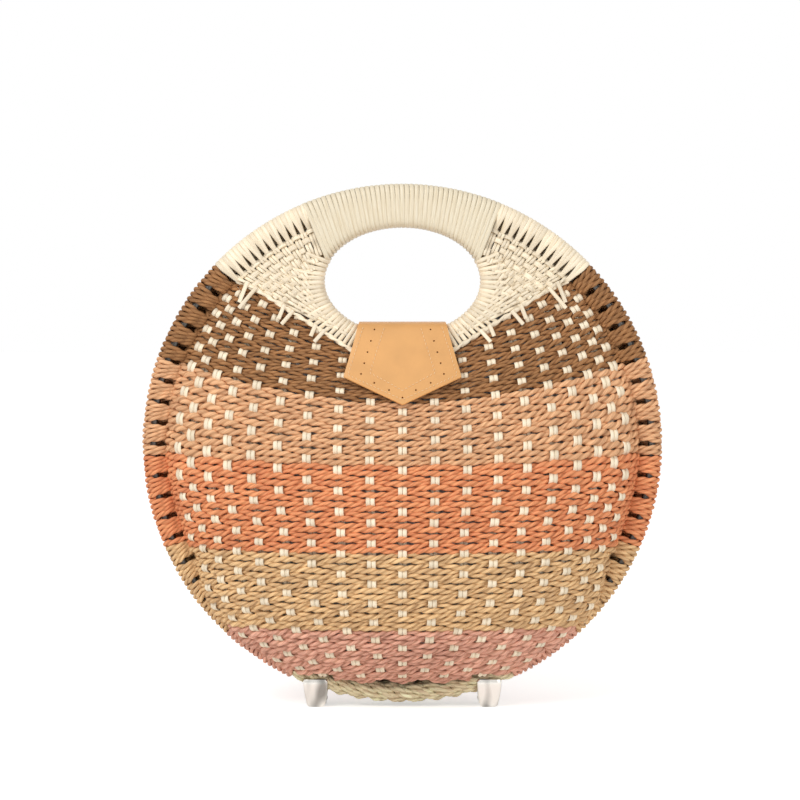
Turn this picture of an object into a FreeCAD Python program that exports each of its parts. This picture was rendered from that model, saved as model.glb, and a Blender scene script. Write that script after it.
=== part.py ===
import FreeCAD, Part
import math
import os

from FreeCAD import Placement, Rotation, Vector

# A round woven bag: two half shells hinged under the rim and a leather tab over the top
# The floor is z = 0, the bag faces -Y and its right-hand side is +X
# A rise or a drop is a height above or below the centre of the round rim
# A depth is a distance forward of the plane where the two shells meet
# A share of a height or of a place to the side is a share of the radius of the bag

SIZES = (
    # The bound rim
    ("bag_radius", "150"),
    ("rim_tube_radius", "6.5"),
    ("rim_half_gap", "0.5"),
    ("rim_wire_radius", "2"),
    ("rim_floor_gap", "2"),
    ("seat_gap", "0.05"),
    ("rim_circle_radius", "=bag_radius - rim_tube_radius"),
    ("rim_bore_radius", "=rim_circle_radius - rim_tube_radius"),
    ("rim_depth", "=rim_half_gap + rim_tube_radius"),
    ("rim_face_depth", "=rim_depth + rim_tube_radius"),
    ("centre_height", "=rim_floor_gap + bag_radius"),
    # The oval hand hole and its binding
    ("hole_half_width", "45.7"),
    ("hole_half_height", "31"),
    ("handle_height", "25"),
    ("hole_rise", "=bag_radius - handle_height - hole_half_height"),
    ("binding_width", "10"),
    ("binding_half_gap", "2"),
    ("binding_round", "4"),
    ("hand_strip_half", "1.5"),
    # The woven dome: its depth rises from the rim to a peak below the centre
    ("dome_bulge", "41"),
    ("dome_peak_share", "0.333"),
    ("dome_top_lift", "7"),
    ("dome_peak_drop", "=bag_radius * dome_peak_share"),
    ("dome_top_rise", "=hole_rise - hole_half_height + dome_top_lift"),
    ("upper_curve_share", "1.5"),
    ("lower_curve_share", "0.7"),
    ("wall_thickness", "6"),
    ("wall_rim_overlap", "3"),
    ("bowl_end_trim", "1"),
    ("hollow_top_share", "0.293"),
    ("hollow_top_rise", "=bag_radius * hollow_top_share"),
    ("zone_depth", "=rim_face_depth + dome_bulge + wall_thickness"),
    ("zone_half_width", "=bag_radius + rim_tube_radius"),
    # Where each colour of rope begins, counted down from the top
    ("peach_top_share", "0.167"),
    ("peach_sag_share", "0.16"),
    ("orange_top_share", "0.067"),
    ("orange_sag_share", "0.027"),
    ("khaki_top_share", "0.38"),
    ("pink_top_share", "0.7"),
    ("cream_top_share", "0.917"),
    ("peach_top_rise", "=bag_radius * peach_top_share"),
    ("peach_top_sag", "=bag_radius * peach_sag_share"),
    ("orange_top_drop", "=bag_radius * orange_top_share"),
    ("orange_top_sag", "=bag_radius * orange_sag_share"),
    ("khaki_top_drop", "=bag_radius * khaki_top_share"),
    ("pink_top_drop", "=bag_radius * pink_top_share"),
    ("cream_top_drop", "=bag_radius * cream_top_share"),
    # The reed shoulders end below on two lines that meet in a V
    ("shoulder_line_share", "0.243"),
    ("shoulder_line_rise", "=bag_radius * shoulder_line_share"),
    ("shoulder_line_angle", "32.3"),
    # The handle
    ("handle_end_share", "0.831"),
    ("handle_end_slope", "=handle_end_share * hole_half_width / hole_rise"),
    ("handle_half_angle", "=atan(handle_end_slope) / 1 deg"),
    ("handle_round", "6"),
    # The reeds behind the ropes, and the lining behind the reeds
    ("warp_count", "19"),
    ("warp_step_angle", "8.5"),
    ("warp_width", "5"),
    ("warp_thickness", "1.2"),
    ("warp_gap", "0.2"),
    ("warp_bottom_share", "0.787"),
    ("warp_top_share", "0.267"),
    ("warp_bottom_drop", "=bag_radius * warp_bottom_share"),
    ("warp_top_rise", "=bag_radius * warp_top_share"),
    # Where a reed comes out over every other row of rope
    ("row_height", "5.9"),
    ("crossing_length", "5"),
    ("crossing_lift", "0.15"),
    ("crossing_bottom_share", "0.84"),
    ("crossing_bottom_drop", "=bag_radius * crossing_bottom_share"),
    ("lining_gap", "0.5"),
    ("lining_thickness", "1"),
    ("lining_top_share", "0.28"),
    ("lining_top_rise", "=bag_radius * lining_top_share"),
    # The hinges under the rim, which are also the feet
    ("hinge_offset_share", "0.333"),
    ("hinge_offset", "=bag_radius * hinge_offset_share"),
    ("hinge_width", "16"),
    ("hinge_sleeve", "1.2"),
    ("sleeve_height", "17"),
    ("foot_reach", "13"),
    ("foot_height", "14"),
    ("pin_height", "4"),
    ("pin_radius", "1.5"),
    ("pin_clearance", "0.05"),
    ("knuckle_radius", "3"),
    ("knuckle_gap", "0.3"),
    ("knuckle_web", "3"),
    ("middle_knuckle", "5.4"),
    # The leather tab and the strap that holds it
    ("leather_thickness", "2"),
    ("tab_fold_lift", "5.5"),
    ("tab_fold_gap", "2"),
    ("tab_length", "44.5"),
    ("tab_tip_gap", "0.5"),
    ("tab_bottom_rise", "=hole_rise - hole_half_height + tab_fold_lift"),
    ("tab_fold_depth", "=rim_face_depth + tab_fold_gap"),
    ("tab_tip_rise", "=tab_bottom_rise - tab_length"),
    ("tab_tip_reach_share", "=(tab_tip_rise + dome_peak_drop) / (dome_top_rise + dome_peak_drop)"),
    ("tab_tip_bulge", "=dome_bulge * (1 - tab_tip_reach_share ^ 2) ^ upper_curve_share"),
    ("tab_tip_depth", "=rim_face_depth + tab_tip_bulge + tab_tip_gap"),
    ("tab_end_extra", "6"),
    ("tab_neck_half_width", "25"),
    ("tab_corner_half_width", "33.5"),
    ("tab_side_length", "29"),
    ("tab_corner_rise", "=tab_bottom_rise - tab_side_length"),
    ("tab_pivot_depth", "12"),
    ("tab_pivot_gap", "0.3"),
    ("strap_length", "40.5"),
    ("strap_end_rise", "=tab_bottom_rise - strap_length"),
    # Stitches, which lie on the leather
    ("stitch_length", "2.6"),
    ("stitch_pitch", "4"),
    ("stitch_width", "0.6"),
    ("stitch_height", "0.3"),
    ("stitch_margin", "2.4"),
    ("patch_top_half_width", "10.7"),
    ("patch_corner_half_width", "18.5"),
    ("patch_side_length", "26.9"),
    ("patch_length", "36.7"),
    ("patch_corner_rise", "=tab_bottom_rise - patch_side_length"),
    ("patch_tip_rise", "=tab_bottom_rise - patch_length"),
    # The snap under the tab
    ("snap_drop_share", "0.46"),
    ("snap_drop", "=tab_length * snap_drop_share"),
    ("snap_rise", "=tab_bottom_rise - snap_drop"),
    ("snap_radius", "6.5"),
    ("snap_lift", "0.15"),
    # Room between the dome and the tab at the lowest point of the snap
    ("snap_low_drop", "=snap_drop + snap_radius"),
    ("snap_low_rise", "=tab_bottom_rise - snap_low_drop"),
    ("snap_low_share", "=(snap_low_rise + dome_peak_drop) / (dome_top_rise + dome_peak_drop)"),
    ("snap_low_bulge", "=dome_bulge * (1 - snap_low_share ^ 2) ^ upper_curve_share"),
    ("tab_slant", "=(tab_tip_depth - tab_fold_depth) / tab_length"),
    ("snap_room", "=tab_fold_depth + tab_slant * snap_low_drop - rim_face_depth - snap_low_bulge"),
    ("snap_thickness_share", "0.4265"),
    ("snap_thickness", "=snap_room * snap_thickness_share"),
)

# How finely the dome is drawn
DOME_LEVELS = 18
WARP_LEVELS = 8
LEVEL_STEP = 0.25
SAG_ROUNDS = 6

QUARTER_TURN = 90
FACING_FRONT = Rotation(Vector(1, 0, 0), QUARTER_TURN)
LYING_ACROSS = Rotation(Vector(0, 1, 0), QUARTER_TURN)
FORWARD = Vector(0, -1, 0)
PARTING_NORMAL = Vector(0, 1, 0)
SIDE_NORMAL = Vector(1, 0, 0)

doc = FreeCAD.newDocument("circle_bag")
sheet = doc.addObject("Spreadsheet::Sheet", "sizes")
nodes = []


def fill_sheet():
    for row, (name, value) in enumerate(SIZES, start=1):
        sheet.set("A%d" % row, name)
        sheet.set("B%d" % row, value)
        sheet.setAlias("B%d" % row, name)
    doc.recompute()


def size(name):
    return float(sheet.get(name))


def add(kind, name, formulas, turn=Rotation()):
    """A new object whose sizes and place are bound to cells of the sheet."""
    item = doc.addObject("Part::" + kind, name)
    item.Placement = Placement(Vector(), turn)
    for place, formula in formulas.items():
        item.setExpression(place, formula)
    return item


def fixed_shape(name, shape):
    """An object for a shape that no standard feature gives."""
    item = doc.addObject("Part::Feature", name)
    item.Shape = shape
    return item


def cut(name, base, tool):
    item = doc.addObject("Part::Cut", name)
    item.Base = base
    item.Tool = tool
    return item


def common(name, base, tool):
    item = doc.addObject("Part::Common", name)
    item.Base = base
    item.Tool = tool
    return item


def fuse(name, *pieces):
    item = doc.addObject("Part::MultiFuse", name)
    item.Shapes = list(pieces)
    return item


def group(name, *pieces):
    item = doc.addObject("Part::Compound", name)
    item.Links = list(pieces)
    return item


def mirrored(name, source, normal):
    item = doc.addObject("Part::Mirroring", name)
    item.Source = source
    item.Base = Vector()
    item.Normal = normal
    return item


def keep(item, label):
    """Marks an object as one piece of the bag."""
    item.Label = label
    nodes.append(item)
    return item


def keep_both(item, label):
    """The two shells are alike, so the back one's piece mirrors the front one's."""
    keep(item, "front_" + label)
    keep(mirrored("back_" + label + "_mirror", item, PARTING_NORMAL), "back_" + label)


# The shape of the dome

def dome_depth(rise):
    """Depth of the woven surface on the middle line."""
    peak = -size("dome_peak_drop")
    if rise > peak:
        reach = size("dome_top_rise") - peak
        power = size("upper_curve_share")
    else:
        reach = peak + size("rim_bore_radius")
        power = size("lower_curve_share")
    share = min(1, abs(rise - peak) / reach)
    return size("rim_face_depth") + size("dome_bulge") * (1 - share ** 2) ** power


def dome_slope(rise):
    """Change of depth for each unit of height, found over a short span."""
    span = size("stitch_width")
    return (dome_depth(rise + span / 2) - dome_depth(rise - span / 2)) / span


def half_axes(inset, rise):
    """Half width and depth of the oval that a level of the dome follows, some way in."""
    radius = size("rim_bore_radius") - inset
    half_width = math.sqrt(radius ** 2 - rise ** 2)
    return half_width, dome_depth(rise) - max(inset, 0) - size("rim_depth")


def dome_point(inset, rise, angle):
    """A point of the dome; the angle goes from the right-hand side over the front."""
    half_width, depth = half_axes(inset, rise)
    across = half_width * math.cos(angle)
    forward = size("rim_depth") + depth * math.sin(angle)
    return Vector(across, -forward, size("centre_height") + rise)


def bowl_section(inset, rise, room):
    """One level of a bowl: half an oval, closed behind at some room past the rim's middle."""
    half_width, depth = half_axes(inset, rise)
    centre = Vector(0, -size("rim_depth"), size("centre_height") + rise)
    right = centre + Vector(half_width, 0, 0)
    left = centre - Vector(half_width, 0, 0)
    oval = Part.Ellipse(right, centre - Vector(0, depth, 0), centre)
    edges = [Part.ArcOfEllipse(oval, 0, math.pi).toShape()]
    corners = [left, right]
    if room > 0:
        behind = Vector(0, room, 0)
        corners = [left, left + behind, right + behind, right]
    for start, end in zip(corners, corners[1:]):
        edges.append(Part.makeLine(start, end))
    return Part.Wire(edges)


def bowl(inset, top, room):
    """A solid bowl that fills one half of the bag up to a height."""
    bottom = -(size("rim_bore_radius") - inset - size("bowl_end_trim"))
    middle = (top + bottom) / 2
    reach = (top - bottom) / 2
    sections = []
    for level in range(DOME_LEVELS + 1):
        rise = middle - reach * math.cos(math.pi * level / DOME_LEVELS)
        sections.append(bowl_section(inset, rise, room))
    return Part.makeLoft(sections, True, False)


# The rim, the handle and the hand hole

def rim_ring(name, tube):
    return add("Torus", name, {
        "Radius1": "sizes.rim_circle_radius",
        "Radius2": tube,
        "Placement.Base.y": "-sizes.rim_depth",
        "Placement.Base.z": "sizes.centre_height",
    }, FACING_FRONT)


def oval_prism(name, margin, start, end):
    """A straight-sided oval block round the hand hole, between two depths."""
    oval = add("Ellipse", name + "_outline", {
        "MajorRadius": "sizes.hole_half_width + %s" % margin,
        "MinorRadius": "sizes.hole_half_height + %s" % margin,
        "Placement.Base.y": "-(%s)" % start,
        "Placement.Base.z": "sizes.centre_height + sizes.hole_rise",
    }, FACING_FRONT)
    prism = doc.addObject("Part::Extrusion", name)
    prism.Base = oval
    prism.DirMode = "Custom"
    prism.Dir = FORWARD
    prism.Solid = True
    prism.setExpression("LengthFwd", "%s - (%s)" % (end, start))
    return prism


def hand_strip(name, gap):
    """The square cane in the middle of the binding, or with a gap the room for it."""
    half = "(sizes.hand_strip_half + %s)" % gap
    middle = "sizes.binding_width / 2"
    depths = ("sizes.rim_depth - " + half, "sizes.rim_depth + " + half)
    outside = oval_prism(name + "_outside", middle + " + " + half, *depths)
    inside = oval_prism(name + "_inside", middle + " - " + half, *depths)
    return cut(name, outside, inside)


def rounded(name, source, radius, wanted):
    """Rounds the edges that a test picks out."""
    doc.recompute()
    item = doc.addObject("Part::Fillet", name)
    item.Base = source
    picked = []
    for number, edge in enumerate(source.Shape.Edges, start=1):
        if wanted(edge):
            picked.append((number, radius, radius))
    item.Edges = picked
    return item


def on_flat_face(edge):
    """True for a curved edge that lies in a plane square to the depth."""
    curved = not isinstance(edge.Curve, Part.Line)
    return curved and edge.BoundBox.YLength < size("seat_gap")


def round_the_hole(edge):
    """True for the hole's own edges, not for the outside of the binding."""
    widest = size("hole_half_width") + size("binding_width") / 2
    return on_flat_face(edge) and edge.BoundBox.XMax < widest


def handle_slice(name, start, end):
    """The slice of the round outline that the handle fills, above the middle of the hole."""
    turned = Rotation(Vector(0, 0, 1), QUARTER_TURN - size("handle_half_angle"))
    whole = add("Cylinder", name + "_whole", {
        "Radius": "sizes.bag_radius",
        "Height": "%s - %s" % (end, start),
        "Angle": "2 * sizes.handle_half_angle",
        "Placement.Base.y": "-%s" % start,
        "Placement.Base.z": "sizes.centre_height",
    }, FACING_FRONT * turned)
    return common(name, whole, above_level(name + "_above", "sizes.hole_rise"))


def make_hoops():
    rim = rim_ring("rim_wire", "sizes.rim_wire_radius")
    keep_both(rim, "rim_hoop")
    keep_both(hand_strip("hand_cane", "0"), "hand_hoop")


def make_handle(hole, rim_wire_room, hand_strip_room):
    solid = handle_slice("handle_solid", "sizes.rim_half_gap", "sizes.rim_face_depth")
    blank = cut("handle_blank", solid, hole)
    smooth = rounded("handle_rounded", blank, size("handle_round"), on_flat_face)
    bored = cut("handle_bored", smooth, rim_wire_room)
    keep_both(cut("handle", bored, hand_strip_room), "handle_wrap")


def make_hole_binding(handle_room, hole, hand_strip_room):
    outside = oval_prism("binding_outside", "sizes.binding_width",
                         "sizes.binding_half_gap", "sizes.rim_face_depth")
    ring = cut("binding_ring", outside, hole)
    smooth = rounded("binding_rounded", ring, size("binding_round"), round_the_hole)
    below_handle = cut("binding_below_handle", smooth, handle_room)
    keep_both(cut("binding", below_handle, hand_strip_room), "hand_hole_binding")


# The woven shell and its colours

def make_blank_shell(handle_room, rim_wire_room):
    """Dome and bound rim in one, open at the handle and round the hand hole."""
    overlap = size("wall_rim_overlap")
    top = size("rim_bore_radius") + overlap - size("bowl_end_trim")
    outside = fixed_shape("bowl_outside", bowl(-overlap, top, 0))
    hollow_shape = bowl(size("wall_thickness"), size("hollow_top_rise"), size("rim_tube_radius"))
    hollow = fixed_shape("bowl_hollow", hollow_shape)
    rim = rim_ring("rim_bound", "sizes.rim_tube_radius")
    solid = fuse("shell_solid", cut("dome_wall", outside, hollow), rim)
    room = oval_prism("hole_room", "sizes.binding_width", "0", "sizes.zone_depth")
    holed = cut("shell_holed", solid, room)
    below_handle = cut("shell_below_handle", holed, handle_room)
    return cut("shell_blank", below_handle, rim_wire_room)


def above_sagging(name, rise, sag):
    """Everything above a line that hangs in the middle, as rows do under the hand hole."""
    radius = "(sizes.rim_bore_radius ^ 2 + %s ^ 2) / (2 * %s)" % (sag, sag)
    return add("Cylinder", name, {
        "Radius": radius,
        "Height": "sizes.zone_depth",
        "Placement.Base.z": "sizes.centre_height + %s + %s" % (rise, radius),
    }, FACING_FRONT)


def above_level(name, rise):
    return add("Box", name, {
        "Length": "2 * sizes.zone_half_width",
        "Width": "sizes.zone_depth",
        "Height": "2 * sizes.zone_half_width",
        "Placement.Base.x": "-sizes.zone_half_width",
        "Placement.Base.y": "-sizes.zone_depth",
        "Placement.Base.z": "sizes.centre_height + %s" % rise,
    })


def half_space(name, start):
    return add("Box", name, {
        "Length": "sizes.zone_half_width",
        "Width": "sizes.zone_depth",
        "Height": "3 * sizes.zone_half_width",
        "Placement.Base.x": start,
        "Placement.Base.y": "-sizes.zone_depth",
    })


def shoulder_zone(side, side_start, direction, base_across, base_rise):
    """Everything above one arm of the V, on its own side of the bag."""
    turn = Rotation(Vector(0, 1, 0), direction * size("shoulder_line_angle"))
    wedge = add("Box", side + "_wedge", {
        "Length": "2 * sizes.zone_half_width",
        "Width": "sizes.zone_depth",
        "Height": "2 * sizes.zone_half_width",
        "Placement.Base.x": base_across,
        "Placement.Base.y": "-sizes.zone_depth",
        "Placement.Base.z": "sizes.centre_height + sizes.shoulder_line_rise + %s" % base_rise,
    }, turn)
    return common(side + "_zone", wedge, half_space(side + "_half", side_start))


def make_woven_shell(shell):
    slide = "2 * sizes.zone_half_width * %s(sizes.shoulder_line_angle * 1 deg)"
    left = shoulder_zone("left", "-sizes.zone_half_width", 1, "-" + slide % "cos", slide % "sin")
    right = shoulder_zone("right", "0", -1, "0", "0")
    keep_both(common("left_shoulder", shell, left), "shoulder_left")
    keep_both(common("right_shoulder", shell, right), "shoulder_right")

    ropes = (
        ("brown", above_sagging("above_peach", "sizes.peach_top_rise", "sizes.peach_top_sag")),
        ("peach", above_sagging("above_orange", "-sizes.orange_top_drop", "sizes.orange_top_sag")),
        ("orange", above_level("above_khaki", "-sizes.khaki_top_drop")),
        ("khaki", above_level("above_pink", "-sizes.pink_top_drop")),
        ("pink", above_level("above_cream", "-sizes.cream_top_drop")),
    )
    higher = fuse("both_shoulders", left, right)
    for colour, zone in ropes:
        upper = common(colour + "_and_above", shell, zone)
        keep_both(cut(colour + "_band", upper, higher), "weft_" + colour)
        higher = zone
    keep_both(cut("cream_band", shell, higher), "weft_cream")


# The reeds and the lining

def warp_section(rise, angle):
    """A reed's cross-section on one level."""
    outer_inset = size("wall_thickness") + size("warp_gap")
    inner_inset = outer_inset + size("warp_thickness")
    half_width, depth = half_axes(outer_inset, rise)
    speed = math.hypot(half_width * math.sin(angle), depth * math.cos(angle))
    spread = size("warp_width") / 2 / speed
    corners = [
        dome_point(outer_inset, rise, angle - spread),
        dome_point(outer_inset, rise, angle + spread),
        dome_point(inner_inset, rise, angle + spread),
        dome_point(inner_inset, rise, angle - spread),
    ]
    return Part.makePolygon(corners + corners[:1])


def row_levels():
    """Rise of each row of rope on the middle line, a row's height apart along the dome."""
    levels = []
    climbed = 0
    rise = LEVEL_STEP - size("rim_bore_radius")
    while rise < size("dome_top_rise"):
        if climbed >= (len(levels) + 0.5) * size("row_height"):
            levels.append(rise)
        climbed += math.hypot(LEVEL_STEP, dome_depth(rise + LEVEL_STEP) - dome_depth(rise))
        rise += LEVEL_STEP
    return levels


def row_sag(level):
    """How much higher a row ends at the rim than on the middle line."""
    drop = size("orange_top_drop")
    if level < -drop:
        return size("orange_top_sag") * max(0, 2 + level / drop)
    share = (level + drop) / (size("peach_top_rise") + drop)
    return size("orange_top_sag") + share * (size("peach_top_sag") - size("orange_top_sag"))


def row_rise(level, angle):
    """Rise of a row where the column of reeds at this angle crosses it."""
    rise = level
    for _ in range(SAG_ROUNDS):
        half_width, depth = half_axes(-size("wall_rim_overlap"), rise)
        rise = level + row_sag(level) * (half_width * math.cos(angle) / size("rim_bore_radius")) ** 2
    return rise


def open_rope(point):
    """True where rope lies open: below the shoulders, clear of the rim and not under the tab."""
    across = abs(point.x)
    rise = point.z - size("centre_height")
    room = size("crossing_length")
    shoulder = size("shoulder_line_rise") + across * math.tan(math.radians(size("shoulder_line_angle")))
    radius = math.hypot(across, rise)
    from_rim = math.hypot(radius - size("rim_circle_radius"), -point.y - size("rim_depth"))
    below_tab = rise + room < size("tab_tip_rise")
    beside_tab = across > size("tab_corner_half_width") + room
    clear_of_rim = from_rim > size("rim_tube_radius") + size("warp_width") / 2 + size("warp_thickness")
    return rise + room < shoulder and clear_of_rim and (below_tab or beside_tab)


def crossing(rise, angle):
    """A reed where it lies over the ropes: a flat strip on the outside of the dome."""
    outside = -size("wall_rim_overlap")
    length = size("crossing_length")
    width = size("warp_width")
    spread = width / 2 / size("bag_radius")
    middle = dome_point(outside, rise, angle)
    up = dome_point(outside, rise + length / 2, angle) - dome_point(outside, rise - length / 2, angle)
    across = dome_point(outside, rise, angle - spread) - dome_point(outside, rise, angle + spread)
    outward = across.cross(up).normalize()
    strip = Part.makeBox(width, length, size("warp_thickness"))
    strip.translate(Vector(-width / 2, -length / 2, 0))
    seat = Placement(middle + outward * size("crossing_lift"), Rotation(across, up, outward, "ZYX"))
    strip.Placement = seat * strip.Placement
    return strip


def crossings(column, angle):
    """A column's strips over every other row; the next column takes the rows between."""
    strips = []
    for row, level in enumerate(row_levels()):
        rise = row_rise(level, angle)
        shows = (row + column) % 2 == 1 and rise > -size("crossing_bottom_drop")
        if shows and open_rope(dome_point(-size("wall_rim_overlap"), rise, angle)):
            strips.append(crossing(rise, angle))
    return strips


def make_warps():
    """Reeds behind the ropes, with a strip outside wherever one crosses over a row."""
    half_count = int(size("warp_count")) // 2
    bottom = -size("warp_bottom_drop")
    length = size("warp_top_rise") - bottom
    reeds = []
    for column in range(-half_count, half_count + 1):
        angle = math.pi / 2 - math.radians(column * size("warp_step_angle"))
        sections = []
        for level in range(WARP_LEVELS + 1):
            sections.append(warp_section(bottom + length * level / WARP_LEVELS, angle))
        reeds.append(Part.makeLoft(sections, True, False))
        reeds += crossings(column, angle)
    keep_both(fixed_shape("warps", Part.makeCompound(reeds)), "warp_reeds")


def make_lining():
    outer_inset = size("wall_thickness") + size("warp_gap") + size("warp_thickness")
    outer_inset = outer_inset + size("lining_gap")
    inner_inset = outer_inset + size("lining_thickness")
    top = size("lining_top_rise")
    outside = fixed_shape("lining_outside", bowl(outer_inset, top, 0))
    inside_shape = bowl(inner_inset, top - size("lining_thickness"), size("rim_tube_radius"))
    inside = fixed_shape("lining_inside", inside_shape)
    keep_both(cut("lining", outside, inside), "lining")


# The hinges

def hinge_box(name, depth_start, depth_end, start, end, top, bottom="0"):
    """A block across a hinge; start and end are distances across from its middle."""
    return add("Box", name, {
        "Length": "(%s) - (%s)" % (end, start),
        "Width": "(%s) - (%s)" % (depth_end, depth_start),
        "Height": "(%s) - (%s)" % (top, bottom),
        "Placement.Base.x": "sizes.hinge_offset + (%s)" % start,
        "Placement.Base.y": "-(%s)" % depth_end,
        "Placement.Base.z": bottom,
    })


def hinge_rod(name, radius, start, end):
    return add("Cylinder", name, {
        "Radius": radius,
        "Height": "(%s) - (%s)" % (end, start),
        "Placement.Base.x": "sizes.hinge_offset + (%s)" % start,
        "Placement.Base.z": "sizes.pin_height",
    }, LYING_ACROSS)


def knuckle(name, start, end):
    """A barrel round the pin with a web that joins it to the leaf in front of it."""
    barrel = hinge_rod(name + "_barrel", "sizes.knuckle_radius", start, end)
    web = hinge_box(name + "_web", "0", "sizes.knuckle_radius + 2 * sizes.knuckle_gap", start, end,
                    "sizes.pin_height + sizes.knuckle_web / 2",
                    "sizes.pin_height - sizes.knuckle_web / 2")
    return fuse(name, barrel, web)


def leaf(name, knuckles):
    """A sleeve under the rim with a foot below it; it is drawn on the front shell."""
    near = "sizes.knuckle_radius + sizes.knuckle_gap"
    half = "sizes.hinge_width / 2"
    far = "sizes.rim_face_depth + sizes.seat_gap + sizes.hinge_sleeve"
    cover = rim_ring(name + "_cover", "sizes.rim_tube_radius + sizes.seat_gap + sizes.hinge_sleeve")
    window = hinge_box(name + "_window", near, far, "-" + half, half, "sizes.sleeve_height")
    sleeve = common(name + "_sleeve", cover, window)
    foot = hinge_box(name + "_foot", near, "sizes.foot_reach", "-" + half, half, "sizes.foot_height")
    rim_room = rim_ring(name + "_rim_room", "sizes.rim_tube_radius + sizes.seat_gap")
    bore = hinge_rod(name + "_bore", "sizes.pin_radius + sizes.pin_clearance", "-" + half, half)
    blank = fuse(name + "_blank", sleeve, foot, *knuckles)
    return cut(name, blank, fuse(name + "_removed", rim_room, bore))


def pair(name, right):
    """The same piece at both hinges."""
    return group(name, right, mirrored(name + "_left", right, SIDE_NORMAL))


def make_hinges():
    half = "sizes.hinge_width / 2"
    inner = "sizes.middle_knuckle / 2"
    outer = "sizes.middle_knuckle / 2 + sizes.knuckle_gap"
    front = leaf("front_leaf", [
        knuckle("front_knuckle_right", outer, half),
        knuckle("front_knuckle_left", "-" + half, "-(%s)" % outer),
    ])
    keep(pair("front_leaves", front), "hinge_leaves_front")
    facing_front = leaf("back_leaf", [knuckle("back_knuckle", "-" + inner, inner)])
    back = mirrored("back_leaf_turned", facing_front, PARTING_NORMAL)
    keep(pair("back_leaves", back), "hinge_leaves_back")
    pin = hinge_rod("hinge_pin", "sizes.pin_radius", "-" + half, half)
    keep(pair("hinge_pin_pair", pin), "hinge_pins")


# The leather tab

def side_point(depth, rise):
    return Vector(0, -depth, size("centre_height") + rise)


def tab_direction():
    """Down the slanting panel of the tab, as a unit vector."""
    fold = side_point(size("tab_fold_depth"), size("tab_bottom_rise"))
    tip = side_point(size("tab_tip_depth"), size("tab_tip_rise"))
    return (tip - fold).normalize()


def tab_normal():
    """Outward from the slanting panel."""
    down = tab_direction()
    return Vector(0, down.z, -down.y)


def leather_profile(start_depth):
    """The leather from its side: flat over the top, a rounded fold, then down the front."""
    thickness = size("leather_thickness")
    fold_inside = side_point(size("tab_fold_depth"), size("tab_bottom_rise"))
    down = tab_direction()
    length = (size("tab_bottom_rise") - size("tab_tip_rise")) / -down.z + size("tab_end_extra")
    upward = Vector(0, 0, thickness)
    outward = tab_normal() * thickness
    start = side_point(start_depth, size("tab_bottom_rise"))
    end = fold_inside + down * length
    middle = (upward + outward).normalize() * thickness
    bend = Part.Arc(fold_inside + upward, fold_inside + middle, fold_inside + outward)
    edges = [
        Part.makeLine(start, fold_inside),
        Part.makeLine(fold_inside, end),
        Part.makeLine(end, end + outward),
        Part.makeLine(end + outward, fold_inside + outward),
        bend.toShape(),
        Part.makeLine(fold_inside + upward, start + upward),
        Part.makeLine(start + upward, start),
    ]
    return Part.Face(Part.Wire(Part.__sortEdges__(edges)))


def leather_sheet(start_depth):
    """The profile drawn out to a width that the outline then trims."""
    half_width = size("tab_corner_half_width") + size("leather_thickness")
    face = leather_profile(start_depth)
    face.translate(Vector(-half_width, 0, 0))
    return face.extrude(Vector(2 * half_width, 0, 0))


def outline_block(points):
    """A block with the leather's outline as seen from the front."""
    near = -size("zone_depth")
    corners = []
    for across, rise in points:
        corners.append(Vector(across, near, size("centre_height") + rise))
    face = Part.Face(Part.makePolygon(corners + corners[:1]))
    return face.extrude(Vector(0, 2 * size("zone_depth"), 0))


def make_tab():
    neck = size("tab_neck_half_width")
    corner = size("tab_corner_half_width")
    fold = size("tab_bottom_rise")
    top = fold + 2 * size("leather_thickness")
    outline = [
        (neck, top), (neck, fold), (corner, size("tab_corner_rise")), (0, size("tab_tip_rise")),
        (-corner, size("tab_corner_rise")), (-neck, fold), (-neck, top),
    ]
    tab = leather_sheet(-size("tab_pivot_depth")).common(outline_block(outline))
    keep(fixed_shape("tab", tab), "tab_leather")


def make_strap():
    """The fixed leather on the back shell mirrors the tab's slope and ends square."""
    neck = size("tab_neck_half_width")
    top = size("tab_bottom_rise") + 2 * size("leather_thickness")
    end = size("strap_end_rise")
    outline = [(neck, top), (neck, end), (-neck, end), (-neck, top)]
    start = size("tab_pivot_depth") + size("tab_pivot_gap")
    strap = leather_sheet(start).common(outline_block(outline))
    facing_front = fixed_shape("strap_drawn", strap)
    keep(mirrored("strap", facing_front, PARTING_NORMAL), "strap_leather")


def on_panel(across, rise):
    """The point of the slanting panel's outer face at a height of its inner face."""
    down = tab_direction()
    length = (size("tab_bottom_rise") - rise) / -down.z
    fold = side_point(size("tab_fold_depth"), size("tab_bottom_rise"))
    return fold + down * length + tab_normal() * size("leather_thickness") + Vector(across, 0, 0)


def stitch(middle, along):
    """One stitch: a flat bar that lies on the panel."""
    length = size("stitch_length")
    width = size("stitch_width")
    bar = Part.makeBox(length, width, size("stitch_height"))
    bar.translate(Vector(-length / 2, -width / 2, 0))
    across = tab_normal().cross(along)
    bar.Placement = Placement(middle, Rotation(along, across, tab_normal(), "XZY")) * bar.Placement
    return bar


def stitch_row(start, end):
    """Stitches spread evenly between two points of the panel."""
    span = end - start
    along = Vector(span).normalize()
    count = int(span.Length / size("stitch_pitch"))
    bars = []
    for number in range(count):
        bars.append(stitch(start + span * ((number + 0.5) / count), along))
    return bars


def stitch_line(points):
    bars = []
    for start, end in zip(points, points[1:]):
        bars += stitch_row(start, end)
    return bars


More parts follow.
